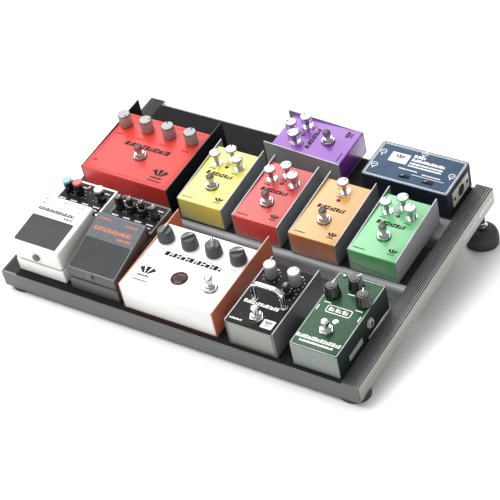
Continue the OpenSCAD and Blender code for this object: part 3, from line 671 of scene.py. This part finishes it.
def lead_pedal():
    pedal = Pedal("lead", "lead_drive_cover", SHEET)
    cover_shell(pedal, "red")
    for k in range(1, 5):
        silver_knob(pedal, f"lead_knob_{k}")
    button(pedal, "lead_plunger")
    collar(pedal, "lead_plunger")
    marks = Print(pedal)
    marks.words(31, 101, 56.5, 7.5, lean=1.5)
    marks.mark(108.5, 22, 22)
    marks.words(98, 120, 8.5, 2.4, lean=0.6)
    for width, inset in ((0.5, 4.5), (0.4, 6.6)):
        marks.border(inset, inset - 1.5, pedal.width - inset, pedal.depth - inset, width, 2.5, 1)
    marks.ring(11.5, 18, 2.6, 0.7)
    marks.words(9, 14, 17.4, 1.4)
    for k in range(1, 5):
        at = pedal.back @ Vector(JOINTS[f"lead_knob_{k}_turn"]["pos_m"])
        marks.words(at.x - 6, at.x + 6, at.y - 19, 1.6, 1, (4, 3, 5))
    marks.lay("lead_print", ["ink", "rose_ink"])


def tube_pedal():
    pedal = Pedal("tube", "tube_drive_cover", SHEET)
    cover_shell(pedal, "white")
    for k in range(1, 5):
        wing_knob(pedal, f"tube_knob_{k}")
    button(pedal, "tube_plunger", "chrome")
    collar(pedal, "tube_plunger")
    marks = Print(pedal)
    marks.words(26, 110, 63.5, 7.0, pattern=(6, 4, 5, 5, 6, 4), lean=0.8)
    marks.mark(21.5, 30, 22)
    marks.words(11, 32, 14.5, 2.2, lean=0.6)
    marks.line((3, 4.5), (pedal.width - 3, 4.5), 0.9, 1)
    marks.words(90, 122, 8.4, 1.8, 1)
    marks.words(48, 84, 52, 1.6, 1)
    for x in (47, 84):
        marks.ring(x, 35.5, 2.4, 0.5, 1)
    for k in range(1, 5):
        at = pedal.back @ Vector(JOINTS[f"tube_knob_{k}_turn"]["pos_m"])
        marks.words(at.x - 7, at.x + 7, at.y - 16.5, 1.6, 1, (4, 3, 5))
    marks.lay("tube_print", ["ink", "faint_ink"])
    bm = bmesh.new()
    at = (66.5, 35.5, pedal.z(35.5))
    lathe(bm, [(10.9, 0.02), (10.9, 0.7), (10.2, 1.0), (9.6, 0.5), (0, 0.5)], 56, at=at, mat=1)
    lathe(bm, [(9.5, 0.52), (9.0, 0.9), (5.0, 1.25), (0, 1.35)], 56, at=at)
    for k in (-1, 0, 1):
        prism(bm, rounded(rectangle(at[0] - 5.5, at[1] + 2.6 * k - 0.5, at[0] + 5.5, at[1] + 2.6 * k + 0.5), 0.45),
              at[2] + 0.6, at[2] + 1.45, "xyz", mat=2)
    piece("tube_window", bm, pedal.place, "board", ["lens", "dark_metal", "ink"])


def metal_pedal():
    pedal = Pedal("metal", "metal_cover", SHEET)
    cover_shell(pedal, "black", front="silver_face")
    button(pedal, "metal_plunger", "steel")
    collar(pedal, "metal_plunger")
    marks = Print(pedal)
    marks.words(6, 58, 34.5, 5.0, pattern=(5, 4, 4, 6, 3))
    marks.box(45, 5.5, 60.5, 19, radius=0.8)
    marks.mark(52.8, 13, 9.5, 1)
    marks.words(4, 22, 5.2, 2.4)
    for x, y in METAL_KNOBS:
        marks.ticks(x, y, 9.6, 11.6)
        marks.words(x - 4, x + 4, y + 11.5 if y > 80 else y - 12.5, 1.5)
    marks.lay("metal_print", ["white_ink", "ink"])
    frame_line = bmesh.new()
    outer = rectangle(SHEET + 0.6, 2.4, pedal.width - SHEET - 0.6, pedal.front_z - 1.6)
    inner = rectangle(SHEET + 1.3, 3.1, pedal.width - SHEET - 1.3, pedal.front_z - 2.3)
    band(frame_line, outer, inner, 0, INK)
    upright = Matrix.Rotation(math.pi / 2, 4, "X")
    piece("metal_front_line", frame_line, pedal.place @ upright, "board", ["ink"])
    return pedal


# ---------- The small fixed knobs ----------

METAL_KNOBS = ((17, 83), (50, 83), (49, 63.5))
DELAY_KNOBS = ((11.7, 85.5), (32.2, 105.7), (52.8, 86))
WHITE_KNOBS = ((11.5, 112), (27.5, 113), (61.5, 112.5))
GREY_KNOBS = tuple(9.3 + 17.6 * k for k in range(4))
GREY_KNOB_Y = 112.0
RECESS = 39.2


def mini_knobs(metal, delay, white, grey):
    """All the small knobs that share one CAD node, in their own finishes."""
    bm = bmesh.new()

    def put(pedal, x, y, z, turn, build):
        start = len(bm.verts)
        build()
        bm.verts.ensure_lookup_table()
        place = pedal.place @ Matrix.Translation((x, y, z)) @ Matrix.Rotation(math.radians(turn), 4, "Z")
        for v in bm.verts[start:]:
            v.co = place @ v.co

    def silver():
        lathe(bm, [(7.1, 0.8), (7.5, 1.3), (7.4, 18.2), (7.0, 18.6)], 120, mat=1, flutes=30, depth=0.3)
        lathe(bm, [(7.1, 18.6), (7.4, 19.0), (7.35, 21.1), (6.7, 21.7), (0, 21.8)], 48, mat=2)
        bar(bm, (0, 3.4), (0, 6.2), 1.4, 21.65, 21.9, mat=0)

    def stubby():
        lathe(bm, [(6.4, 0.8), (6.4, 5.4), (5.9, 6.4), (4.0, 6.6), (3.9, 15.9), (3.2, 16.7), (0, 16.7)],
              96, flutes=16, depth=0.35)
        bar(bm, (0, 0.4), (0, 3.2), 0.9, 16.6, 16.85, mat=3)
        bar(bm, (-3.6, -4.6), (-1.6, -5.6), 0.9, 6.0, 6.6, mat=3)

    def fluted():
        lathe(bm, [(9.7, 0.8), (10.1, 1.4), (10.0, 4.0), (8.8, 5.4), (8.3, 15.2), (7.2, 16.9), (0, 17.5)], 120,
              flutes=12, depth=0.75)
        lathe(bm, [(5.0, 17.0), (4.8, 17.85), (0, 18.1)], 40, mat=4)
        bar(bm, (0, 2.6), (0, 9.2), 1.3, 16.6, 18.0, mat=3)

    def capped(colour):
        def build():
            lathe(bm, [(5.6, 0.4), (5.7, 1.0), (5.9, 16.8), (5.4, 17.3)], 96, flutes=20, depth=0.3)
            lathe(bm, [(6.0, 17.4), (6.2, 17.9), (6.15, 20.0), (5.5, 20.7), (0, 20.8)], 40, mat=colour)
        return build

    def single():
        lathe(bm, [(6.1, 0.4), (6.2, 1.2), (5.4, 2.6), (4.9, 18.4), (4.1, 19.6), (0, 19.8)], 96, flutes=16, depth=0.4)
        bar(bm, (0, 1.0), (0, 4.3), 0.9, 19.5, 19.95, mat=3)
        bar(bm, (-1.2, -5.0), (-1.2, -4.6), 0.7, 3.0, 17.6, mat=4)

    def dual():
        lathe(bm, [(6.9, 0.4), (6.9, 10.4), (6.3, 11.6), (5.2, 12.2), (0, 12.3)], 96, flutes=18, depth=0.35)
        bar(bm, (-4.6, -2.6), (-5.8, -3.3), 0.9, 11.2, 12.3, mat=3)
        lathe(bm, [(4.5, 12.8), (4.4, 21.6), (3.6, 22.7), (0, 22.9)], 80, flutes=14, depth=0.3)
        bar(bm, (0, 0.8), (0, 3.9), 0.9, 22.6, 23.0, mat=3)

    for k, (x, y) in enumerate(METAL_KNOBS):
        put(metal, x, y, metal.z(y), (0, -30, 15)[k], stubby if k == 2 else silver)
    for k, (x, y) in enumerate(DELAY_KNOBS):
        put(delay, x, y, delay.z(y), (0, -35, 20)[k], fluted)
    for k, (x, y) in enumerate(WHITE_KNOBS):
        put(white, x, y, RECESS, 0, capped(5 + k))
    for k, x in enumerate(GREY_KNOBS):
        put(grey, x, GREY_KNOB_Y, RECESS, (-20, 10, -15, 20)[k], dual if k in (1, 2) else single)
    piece("mini_knobs_dressed", bm, Matrix.Identity(4), "board",
          ["gloss_black", "frosted_painted_pink_reflection", "white_cap", "white_ink", "gloss_black", "teal", "pink", "white_ink"],
          ["mini_knobs"])


# ---------- Compact treadle pedals ----------

TREADLE_D = 82.0
HINGE = (80.0, 48.0)


def compact_case(pedal, paint, ink):
    """The case with its low front, and a black recess for the knobs behind a rim."""
    width, depth, rim = pedal.width, pedal.depth, pedal.rear_z
    bm = bmesh.new()
    side = [(0, 0), (0, 20), (70, 33), (84.8, 33), (84.8, RECESS - 0.3), (depth, RECESS - 0.3), (depth, 0)]
    prism(bm, side, 0, width)
    soften(bm, 1.4, 3)
    outer = rounded(rectangle(0, 84.8, width, depth), 1.6, 3)
    inner = rounded(rectangle(2.5, 88, width - 2.5, depth - 2.5), 1.0, 3)
    band(bm, outer, inner, RECESS - 1.5, rim)
    for x in (4.0, width - 8.0):
        prism(bm, rounded(rectangle(75.5, 31, 84.5, 51.6), [0, 0, 4, 4]), x, x + 4.4)
    prism(bm, rounded(rectangle(2.4, 87.9, width - 2.4, depth - 2.4), 1.0, 3), RECESS - 1, RECESS, "xyz", 1)
    piece(pedal.name + "_case_shell", bm, pedal.place, "board", [paint, "recess"], [pedal.node])
    marks = Print(pedal)
    for k in range(4):
        x = GREY_KNOBS[k]
        marks.ticks(x, GREY_KNOB_Y, 7.4, 8.7, 0.5, count=7, sweep=250)
        marks.words(x - 5, x + 5, 97.5, 2.0)
        marks.words(x - 5, x + 5, 92.5, 1.6)
        marks.words(x - 4, x + 4, 123.5, 1.6)
    for v in marks.bm.verts:
        v.co.z += RECESS
    piece(pedal.name + "_recess_print", marks.bm, pedal.place, "board", [ink])
    bm = bmesh.new()
    lathe(bm, [(2.4, 0), (2.4, 1.2), (1.7, 1.6), (0, 2.2)], 24, at=(33, 126, RECESS))
    piece(pedal.name + "_check_lamp", bm, pedal.place, "board", ["pink_lamp"])


def top_slope(pedal):
    """The treadle's front and rear heights, from its CAD node."""
    points = [pedal.back @ v.co for v in frame["nodes"][pedal.name + "_treadle"].data.vertices]
    front = max(p.z for p in points if 0 <= p.y < 0.5)
    rear = max(p.z for p in points if p.y > TREADLE_D - 1)
    return front, rear


def treadle(pedal, paint, soft):
    """A treadle shell: front apron, top and side skirts, rounded by soft, hollow below."""
    front, rear = top_slope(pedal)
    name = pedal.name + "_treadle"
    width = pedal.width
    apron = 24.0
    wall = 2.4
    bm = bmesh.new()
    outline = [(0, apron), (0, front), (TREADLE_D, rear), (TREADLE_D, 44.5), (TREADLE_D - 12, 35)]
    prism(bm, outline, 0, width)
    bmesh.ops.recalc_face_normals(bm, faces=bm.faces)
    under = [f for f in bm.faces if f.normal.z < -0.5 or (f.normal.y > 0.6)]
    bmesh.ops.delete(bm, geom=under, context="FACES_ONLY")
    edges = [e for e in bm.edges if len(e.link_faces) == 2 and e.calc_face_angle(0) > 0.5]
    bmesh.ops.bevel(bm, geom=edges, offset=soft, segments=4, profile=0.5, affect="EDGES", clamp_overlap=True)
    bmesh.ops.recalc_face_normals(bm, faces=bm.faces)
    if sum(f.normal.z * f.calc_area() for f in bm.faces) < 0:
        bmesh.ops.reverse_faces(bm, faces=bm.faces)
    bmesh.ops.solidify(bm, geom=bm.faces[:], thickness=wall)
    for x in (2.4, width - 6.9):
        rod = bmesh.new()
        lathe(rod, [(2.5, 0), (2.5, 4.5)], 28)
        rod.transform(Matrix.Translation((x, *HINGE)) @ Matrix.Rotation(math.pi / 2, 4, "Y"))
        spare = bpy.data.meshes.new("spare")
        rod.to_mesh(spare)
        rod.free()
        bm.from_mesh(spare)
        bpy.data.meshes.remove(spare)
    piece(name + "_shell", bm, pedal.place, name, [paint], [name])
    return front, rear


def thumbscrew(pedal, dark):
    bm = bmesh.new()
    lathe(bm, [(3.0, -0.6), (3.0, 0.3), (4.7, 0.5), (4.9, 1.0), (4.9, 3.0), (4.3, 3.55), (1.6, 3.55), (1.2, 3.1), (0, 3.1)],
          96, flutes=24, depth=0.3)
    place = pedal.place @ Matrix.Translation((pedal.width / 2, 0.1, 34)) @ Matrix.Rotation(math.pi / 2, 4, "X")
    piece(pedal.name + "_thumbscrew", bm, place, pedal.name + "_treadle", ["thumb"])
    bm = bmesh.new()
    lathe(bm, [(2.6, 0), (2.6, 0.3), (1.9, 0.35), (1.7, 0.1), (0, 0.1)], 28)
    place = pedal.place @ Matrix.Translation((pedal.width, *HINGE)) @ Matrix.Rotation(math.pi / 2, 4, "Y")
    piece(pedal.name + "_hinge_cap", bm, place, pedal.name + "_treadle", [dark])


def on_slope(bm, front, rear, lift=0.0):
    for v in bm.verts:
        v.co.z += front + (rear - front) * v.co.y / TREADLE_D + lift


def rubber_pad(pedal, front, rear, x0, y0, x1, y1, rubber):
    """A ribbed rubber pad with a raised rim, set on the treadle."""
    bm = bmesh.new()
    prism(bm, rounded(rectangle(x0, y0, x1, y1), 1.5, 3), 0, 0.9, "xyz")
    band(bm, rounded(rectangle(x0, y0, x1, y1), 1.5, 3), rounded(rectangle(x0 + 1, y0 + 1, x1 - 1, y1 - 1), 0.8, 3),
         0.85, 1.2)
    rows = int((x1 - x0 - 5) / 2.2)
    for k in range(rows):
        x = x0 + 3 + 2.2 * k
        bar(bm, (x, y0 + 2.2), (x, y1 - 2.2), 1.2, 0.85, 1.1)
    on_slope(bm, front, rear)
    piece(pedal.name + "_pad", bm, pedal.place, pedal.name + "_treadle", [rubber])


def white_compact(pedal):
    compact_case(pedal, "cream", "white_ink")
    front, rear = treadle(pedal, "cream", 3.2)
    thumbscrew(pedal, "dark_metal")
    rubber_pad(pedal, front, rear, 3.2, 4.5, 66, 48, "pad")
    marks = Print(pedal)
    marks.words(3.5, 60, 57.5, 5.0, pattern=(3, 2, 3, 3), lean=0.5)
    marks.words(47, 60, 52.5, 2.6)
    for y in (76, 69):
        for x0, x1, tip in ((6, 22, 3.6), (46, 61, 63.2)):
            marks.words(x0, x1, y - 1, 2.0, 1)
            way = 2.6 if tip < 30 else -2.6
            prism(marks.bm, [(tip, y), (tip + way, y + 1.7), (tip + way, y - 1.7)], 0, INK, "xyz")
    marks.border(32, 75.0, 36.5, 79.5, 0.9, 0.6)
    on_slope(marks.bm, front, rear)
    piece("white_print", marks.bm, pedal.place, "white_treadle", ["ink", "pale_ink"])


def grey_compact(pedal):
    compact_case(pedal, "graphite", "white_ink")
    front, rear = treadle(pedal, "graphite", 1.8)
    thumbscrew(pedal, "dark_metal")
    rubber_pad(pedal, front, rear, 3.4, 3.6, 69.6, 46.5, "dark_pad")
    bm = bmesh.new()
    prism(bm, rounded(rectangle(3.4, 48.4, 69.6, TREADLE_D - 1.8), 1.2, 3), 0, 0.25, "xyz")
    on_slope(bm, front, rear)
    piece("grey_panel", bm, pedal.place, "grey_treadle", ["slate"])
    marks = Print(pedal)
    marks.words(6, 65, 58.5, 5.4, pattern=(5, 3, 4, 4, 4, 3), lean=0.8)
    marks.words(45, 66, 51.5, 3.6, pattern=(4, 3))
    marks.words(6, 26, 74, 2.6)
    marks.words(47, 67, 72, 2.6)
    on_slope(marks.bm, front, rear, 0.25)
    piece("grey_print", marks.bm, pedal.place, "grey_treadle", ["orange_ink"])


# ---------- Cast boxes ----------


def cast_shell(pedal, sides, top, corner, edge, front=None):
    """A cast box with round corners, closed below by its own base plate."""
    bm = bmesh.new()
    outline = rounded(rectangle(0, 0, pedal.width, pedal.depth), corner, 5)
    prism(bm, outline, 0, pedal.high.z, "xyz")
    rims = [e for e in bm.edges if all(v.co.z > pedal.high.z - 0.1 for v in e.verts)]
    bmesh.ops.bevel(bm, geom=rims, offset=edge, segments=4, profile=0.5, affect="EDGES", clamp_overlap=True)
    bmesh.ops.recalc_face_normals(bm, faces=bm.faces)
    # Faces take the top, front or sides finish by their direction; the delay passes lit and shaded copies of one paint,
    # as painted light and shade.
    for face in bm.faces:
        face.material_index = 1 if face.normal.z > 0.5 else 2 if face.normal.y < -0.6 else 0
    piece(pedal.name + "_shell", bm, pedal.place, "board", [sides, top, front or sides], [pedal.node])


def delay_pedal(pedal):
    # The delay's front takes a pale copy of its green sparkle paint as painted reflection, and its sides a darker copy
    # as painted shade.
    cast_shell(pedal, "sparkle_painted_shade", "sparkle", 2.2, 0.9, "sparkle_painted_reflection")
    button(pedal, "delay_plunger", "steel")
    collar(pedal, "delay_plunger")
    lamp(pedal, 10, 117.5, "clear_lamp", 2.2)
    marks = Print(pedal)
    marks.border(1.2, 1.2, pedal.width - 1.2, pedal.depth - 1.2, 0.5, 1.6)
    marks.border(14.5, 58.5, 47.5, 70.5, 1.1, 3.0)
    for k in range(3):
        marks.words(18 + 9 * k, 26.5 + 9 * k, 61.8, 5.6, pattern=(5, 3))
    marks.words(2, 61, 13.5, 5.2, pattern=(5, 4, 4, 5))
    marks.words(9, 54, 8.2, 3.0, pattern=(4, 5, 3, 4))
    for x, y in DELAY_KNOBS:
        marks.line((x - 12.6, y + 5.5), (x - 9.8, y + 3.6), 0.9)
        marks.line((x - 4.5, y - 12.8), (x + 4.5, y - 12.8), 1.5)
    for x in (4.2, 59.2):
        marks.line((x, 58), (x, 66), 1.5)
    marks.lay("delay_print", ["white_ink"])
    bm = bmesh.new()
    lathe(bm, [(3.4, 0), (3.4, 0.6), (2.6, 0.8), (2.2, 0.8), (2.2, 1.6), (1.8, 2.0), (0, 2.0)], 32,
          at=(35.5, 48.5, pedal.z(48)))
    piece("delay_mode_button", bm, pedal.place, "board", ["steel"])
    bm = bmesh.new()
    prism(bm, rounded(rectangle(24, 5, 55, 13.5), 0.8, 3), pedal.width, pedal.width + 0.12, "yzx")
    for k in range(7):
        y = 27 + 3.8 * k
        prism(bm, rectangle(y, 7.2 + (k % 3), y + 2.4, 10.8), pedal.width + 0.1, pedal.width + 0.16, "yzx", 1)
    piece("delay_side_label", bm, pedal.place, "board", ["label", "pale_ink"])


def junction_box(pedal):
    cast_shell(pedal, "navy", "blue", 2.6, 1.0)
    width, depth = pedal.width, pedal.depth
    marks = Print(pedal)
    for inset in (1.8, 3.4):
        marks.border(inset, inset, width - inset, depth - inset, 0.55, 2.0)
    marks.box(21, 33, 46, 50, radius=0.8)
    marks.mark(33.5, 42, 13, 1)
    marks.words(50, 68, 48.5, 4.6)
    marks.words(50, 98, 41.6, 4.6)
    marks.words(50, 97, 36.2, 2.8)
    marks.words(50, 96, 31.6, 2.8)
    marks.words(41, 68, 24.5, 1.8)
    marks.words(74, 100, 22.5, 1.8)
    marks.line((62, 19.5), (106, 19.5), 0.7)
    for x, y in ((9, 46), (9, 21), (110, 34), (61, 59)):
        marks.ring(x, y, 4.2, 0.8)
        marks.line((x - 1.6, y), (x + 1.6, y), 0.8)
        marks.line((x, y - 7), (x, y - 4.2), 1.2)
    marks.lay("junction_print", ["white_ink", "ink"])
    bm = bmesh.new()
    for x in SLIDE_SWITCHES:
        base = pedal.high.z
        prism(bm, rounded(rectangle(x - 7.5, 9.8, x + 7.5, 16.2), 0.8, 3), base - 0.3, base + 0.3, "xyz")
        prism(bm, rounded(rectangle(x - 5.0, 11.0, x, 15.0), 0.4, 3), base + 0.2, base + 2.2, "xyz", 1)
    soften(bm, 0.25, 2)
    piece("junction_slide_switches", bm, pedal.place, "board", ["ink", "gloss_black"])
    socket_face(pedal)


SLIDE_SWITCHES = (54.5, 87.0)


def socket_face(pedal):
    """The steel flange, latch and three pins of the output socket."""
    bm = bmesh.new()
    turn = Matrix.Rotation(math.pi / 2, 4, "Z") @ Matrix.Rotation(math.pi / 2, 4, "X")
    steps = 24
    outline = rounded(rectangle(-21, -11, 21, 11), 1.2, 5)
    turns = [2 * math.pi * k / steps for k in range(steps)]
    hole = [(8.4 * math.cos(t), 8.4 * math.sin(t)) for t in turns]
    wide = [(10.4 * math.cos(t), 10.4 * math.sin(t)) for t in turns]
    band(bm, wide, hole, 1.7, 2.3)
    prism(bm, rounded(rectangle(-2.4, 9.6, 2.4, 10.9), 0.4, 2), 1.8, 2.9, "xyz")
    for x in (-17, 17):
        lathe(bm, [(2.6, 1.8), (2.6, 2.3), (1.8, 2.7), (0, 2.7)], 24, at=(x, 0, 0), mat=1)
    for t in (90, 210, 330):
        lathe(bm, [(1.3, -6), (1.3, -1.4), (0.7, -0.8), (0, -0.8)], 16,
              at=(4.2 * math.cos(math.radians(t)), 4.2 * math.sin(math.radians(t)), 0), mat=2)
    lathe(bm, [(7.9, -6), (7.9, -5.5), (0, -5.5)], 32, mat=1)
    place = pedal.place @ Matrix.Translation((pedal.width, pedal.depth / 2, 19.5)) @ turn
    piece("junction_socket_face", bm, place, "board", ["plate_steel", "dark_metal", "brass"])


# ---------- The frame ----------


def tape_pile():
    """Loop tape: strips whose top is a fine uneven pile."""
    low, high = corners(level_points("loop_tape"))
    fronts = sorted({round(p.y, 1) for p in level_points("loop_tape")})
    strips = list(zip(fronts[0::2], fronts[1::2]))
    step = 1.6
    bm = bmesh.new()
    for y0, y1 in strips:
        nx = int((high.x - low.x) / step)
        ny = int((y1 - y0) / step)
        grid = []
        for j in range(ny + 1):
            row = []
            for i in range(nx + 1):
                x = low.x + (high.x - low.x) * i / nx
                y = y0 + (y1 - y0) * j / ny
                edge = i in (0, nx) or j in (0, ny)
                tuft = noise.noise(Vector((x * 0.9, y * 0.9, 3.0))) + 0.6 * noise.noise(Vector((x * 0.13, y * 0.13, 9)))
                row.append(bm.verts.new((x, y, high.z - (0.35 if edge else 0.18) + 0.16 * tuft)))
            grid.append(row)
        for j in range(ny):
            for i in range(nx):
                bm.faces.new((grid[j][i], grid[j][i + 1], grid[j + 1][i + 1], grid[j + 1][i]))
        loop = (grid[0][:-1] + [r[-1] for r in grid[:-1]] + grid[-1][:0:-1] + [r[0] for r in grid[:0:-1]])
        floor = [bm.verts.new((v.co.x, v.co.y, low.z)) for v in loop]
        for k in range(len(loop)):
            bm.faces.new((loop[k - 1], loop[k], floor[k], floor[k - 1]))
        bm.faces.new(floor)
    piece("loop_tape_pile", bm, TILT @ Matrix.Scale(MM, 4), "board", ["loop"], ["loop_tape"], sharp=70)


def rear_foot(side):
    """A rubber dome on a threaded stud with a hexagonal nut."""
    node = "rear_foot_" + side
    body = "foot_" + side
    low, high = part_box(node)
    points = [v.co for v in frame["nodes"][node].data.vertices]
    base = [p for p in points if p.z < low.z + 0.0005]
    x = sum(p.x for p in base) / len(base)
    y = sum(p.y for p in base) / len(base)
    bm = bmesh.new()
    radius, tall = 22.0, 24.0
    shoulder = [(10 + (radius - 10.3) * math.cos(t) ** 0.8, 6.4 + (tall - 6.4) * math.sin(t) ** 0.95)
                for t in (math.radians(a) for a in range(1, 85, 6))]
    lathe(bm, [(0, 0), (radius - 3, 0), (radius - 1.2, 0.8), (radius - 0.6, 2.4), (radius - 1.4, 3.2), (radius - 1.4, 4.2),
               (radius - 0.4, 5.0), *shoulder, (9.4, tall), (8.6, tall - 0.8), (0, tall - 0.8)], 72)
    piece(node + "_dome", bm, Matrix.Translation((x, y, 0)) @ Matrix.Scale(MM, 4), body, ["rubber"],
          [node])
    level = [UNTILT @ p / MM for p in points if p.z > high.z - 0.03]
    top_low, top_high = corners(level)
    middle = (top_low + top_high) / 2
    stud = bmesh.new()
    ridges = []
    for k in range(28):
        ridges += [(4.95, -54 + 1.5 * k), (4.35, -53.25 + 1.5 * k)]
    lathe(stud, [(4.3, -55), *ridges, (4.4, -11.6), (3.6, -11), (0, -11)], 32)
    lathe(stud, [(6.2, -50), (7, -49.3), (7, -44.7), (6.2, -44)], 6, mat=1)
    lathe(stud, [(7.0, -51.2), (7.0, -50.1)], 40, mat=1)
    at = TILT @ Matrix.Translation(Vector((middle.x, middle.y, level_top())) * MM) @ Matrix.Scale(MM, 4)
    piece(node + "_stud", stud, at, body, ["dark_steel", "steel"])


def level_top():
    """Height of the rails' tops in the board's own axes."""
    return corners(level_points("side_rails"))[1].z


def frame_parts():
    top = level_top()
    left, right = (corners(level_points("side_rails"))[i].x for i in (0, 1))
    rails = corners(level_points("side_rails"))

    def rail_finish(at, normal):
        # Groove floors and groove walls take the near-black painted shade finish.
        if normal.z > 0.8 and at.z < top - 0.3 and at.z > top - 1.0:
            return 2
        # The left rail's top takes a darker copy of the rib finish as painted shade; the right rail's top takes the rib
        # finish.
        if normal.z > 0.8:
            return 1 if at.x > 0 else 3
        if abs(normal.x) > 0.8 and at.z > top - 0.62 and left + 1 < at.x < right - 1:
            return 2
        return 0

    dress("side_rails", ["rail_side", "rail_rib", "groove", "rail_rib_painted_shade"], 0, rail_finish)
    dress("front_rail", ["rail_face"], 0.35)
    dress("middle_rail", ["bar"], 0.3)
    dress("rear_rail", ["bar"], 0.3)
    dress("front_feet", ["rubber"], 1.2)
    dress("frame_screws", ["steel"], 0.25)
    dress("base_plates", ["base"], 0.3)
    dress("circuit_boards", ["circuit"], 0)
    dress("panel_bushes", ["steel", "plate_steel"], 0.2,
          lambda at, n: 1 if at.x > JUNCTION_SIDE else 0)
    dress("guard_bar", ["steel"], 0)
    metal_low, metal_high = corners(level_points("metal_cover"))

    def cheek_finish(at, normal):
        dark = metal_low.x - 3 < at.x < metal_high.x + 3 and at.y < 0.4 * rails[1].y
        if abs(normal.x) < 0.5 and abs(normal.y) < 0.9 and at.z > top + 20:
            return 2
        return 1 if dark else 0

    dress("small_chassis", ["cheek", "dark_cheek", "bare_edge"], 0.25, cheek_finish)
    middle_y = (rails[0].y + rails[1].y) / 2

    def wide_finish(at, normal):
        brown = at.x > 0.5 * (left + right) - 80 and at.y < middle_y
        edge = abs(normal.x) < 0.5 and at.z > top + 6
        if brown:
            return 2 if edge else 0
        return 3 if edge else 1

    dress("wide_chassis", ["brown_cheek", "black_cheek", "brown_edge", "black_edge"], 0.25, wide_finish)
    badge = bmesh.new()
    for k in range(5):
        y = rails[1].y - 40 + 7 * k
        prism(badge, rounded(rectangle(y, -15.5, y + 4.4, -8.5), 1.0, 3), right, right + 0.15, "yzx")
    prism(badge, rectangle(rails[1].y - 84, -13, rails[1].y - 50, -11.6), right, right + 0.15, "yzx")
    piece("rail_badge", badge, TILT @ Matrix.Scale(MM, 4) @ Matrix.Translation((0, 0, top)), "board", ["white_ink"])


JUNCTION_SIDE = corners(level_points("junction_case"))[1].x + 0.1
frame_parts()
tape_pile()
rear_foot("left")
rear_foot("right")
for colour in SMALL:
    small_pedal(colour)
lead_pedal()
tube_pedal()
metal = metal_pedal()
delay = Pedal("delay", "delay_case")
delay_pedal(delay)
junction_box(Pedal("junction", "junction_case"))
white = Pedal("white", "white_compact_case")
grey = Pedal("grey", "grey_compact_case")
white_compact(white)
grey_compact(grey)
mini_knobs(metal, delay, white, grey)

# ---------- Camera, floor and light ----------

AZIMUTH = math.radians(36.09)
ELEVATION = math.radians(37.48)
ROLL = math.radians(-7.01)
DISTANCE = 2.2508
AIM = Vector((0.0310, -0.0419, 0.0600))
LENS = 131.7


def look(position, target, roll=0.0):
    turned = (target - position).to_track_quat("-Z", "Y").to_matrix().to_4x4()
    return Matrix.Translation(position) @ turned @ Matrix.Rotation(roll, 4, "Z")


toward = Vector((math.sin(AZIMUTH) * math.cos(ELEVATION), -math.cos(AZIMUTH) * math.cos(ELEVATION),
                 math.sin(ELEVATION)))
lens = bpy.data.cameras.new("camera")
lens.lens = LENS
lens.sensor_width = 36.0
camera = bpy.data.objects.new("camera", lens)
camera.matrix_world = look(AIM + toward * DISTANCE, AIM, ROLL)
SCENE.collection.objects.link(camera)
SCENE.camera = camera


def floor():
    bm = bmesh.new()
    half = 6.0
    prism(bm, rounded(rectangle(-half, -half, half, half), 0.5), -0.02, 0.0, "xyz")
    mesh = bpy.data.meshes.new("floor")
    bm.to_mesh(mesh)
    bm.free()
    mesh.materials.append(material("floor", (0.90, 0.90, 0.90), rough=0.7, vary=0.01, bump=0.02))
    made = bpy.data.objects.new("floor", mesh)
    SCENE.collection.objects.link(made)


def studio_world():
    """A pale room that darkens towards the horizon."""
    world = bpy.data.worlds.new("studio")
    world.use_nodes = True
    graph = world.node_tree
    backdrop = graph.nodes["Background"]
    coordinates = add(graph, "ShaderNodeTexCoord")
    split = add(graph, "ShaderNodeSeparateXYZ")
    ramp = add(graph, "ShaderNodeValToRGB")
    ramp.color_ramp.elements[0].position = 0.02
    ramp.color_ramp.elements[0].color = (0.22, 0.22, 0.225, 1)
    ramp.color_ramp.elements[1].position = 0.55
    ramp.color_ramp.elements[1].color = (0.85, 0.85, 0.85, 1)
    graph.links.new(coordinates.outputs["Generated"], split.inputs["Vector"])
    graph.links.new(split.outputs["Z"], ramp.inputs["Fac"])
    graph.links.new(ramp.outputs["Color"], backdrop.inputs["Color"])
    backdrop.inputs["Strength"].default_value = 0.8
    SCENE.world = world


def softbox(name, position, target, size, power):
    data = bpy.data.lights.new(name, "AREA")
    data.shape = "SQUARE"
    data.size = size
    data.energy = power
    made = bpy.data.objects.new(name, data)
    made.matrix_world = look(Vector(position), Vector(target))
    SCENE.collection.objects.link(made)


floor()
softbox("back_panel", (-1.04, 1.0, 1.75), AIM, 2.0, 36)
softbox("key_light", (-0.9, -0.7, 2.15), AIM, 2.0, 58)
studio_world()
SCENE.view_settings.view_transform = "Standard"
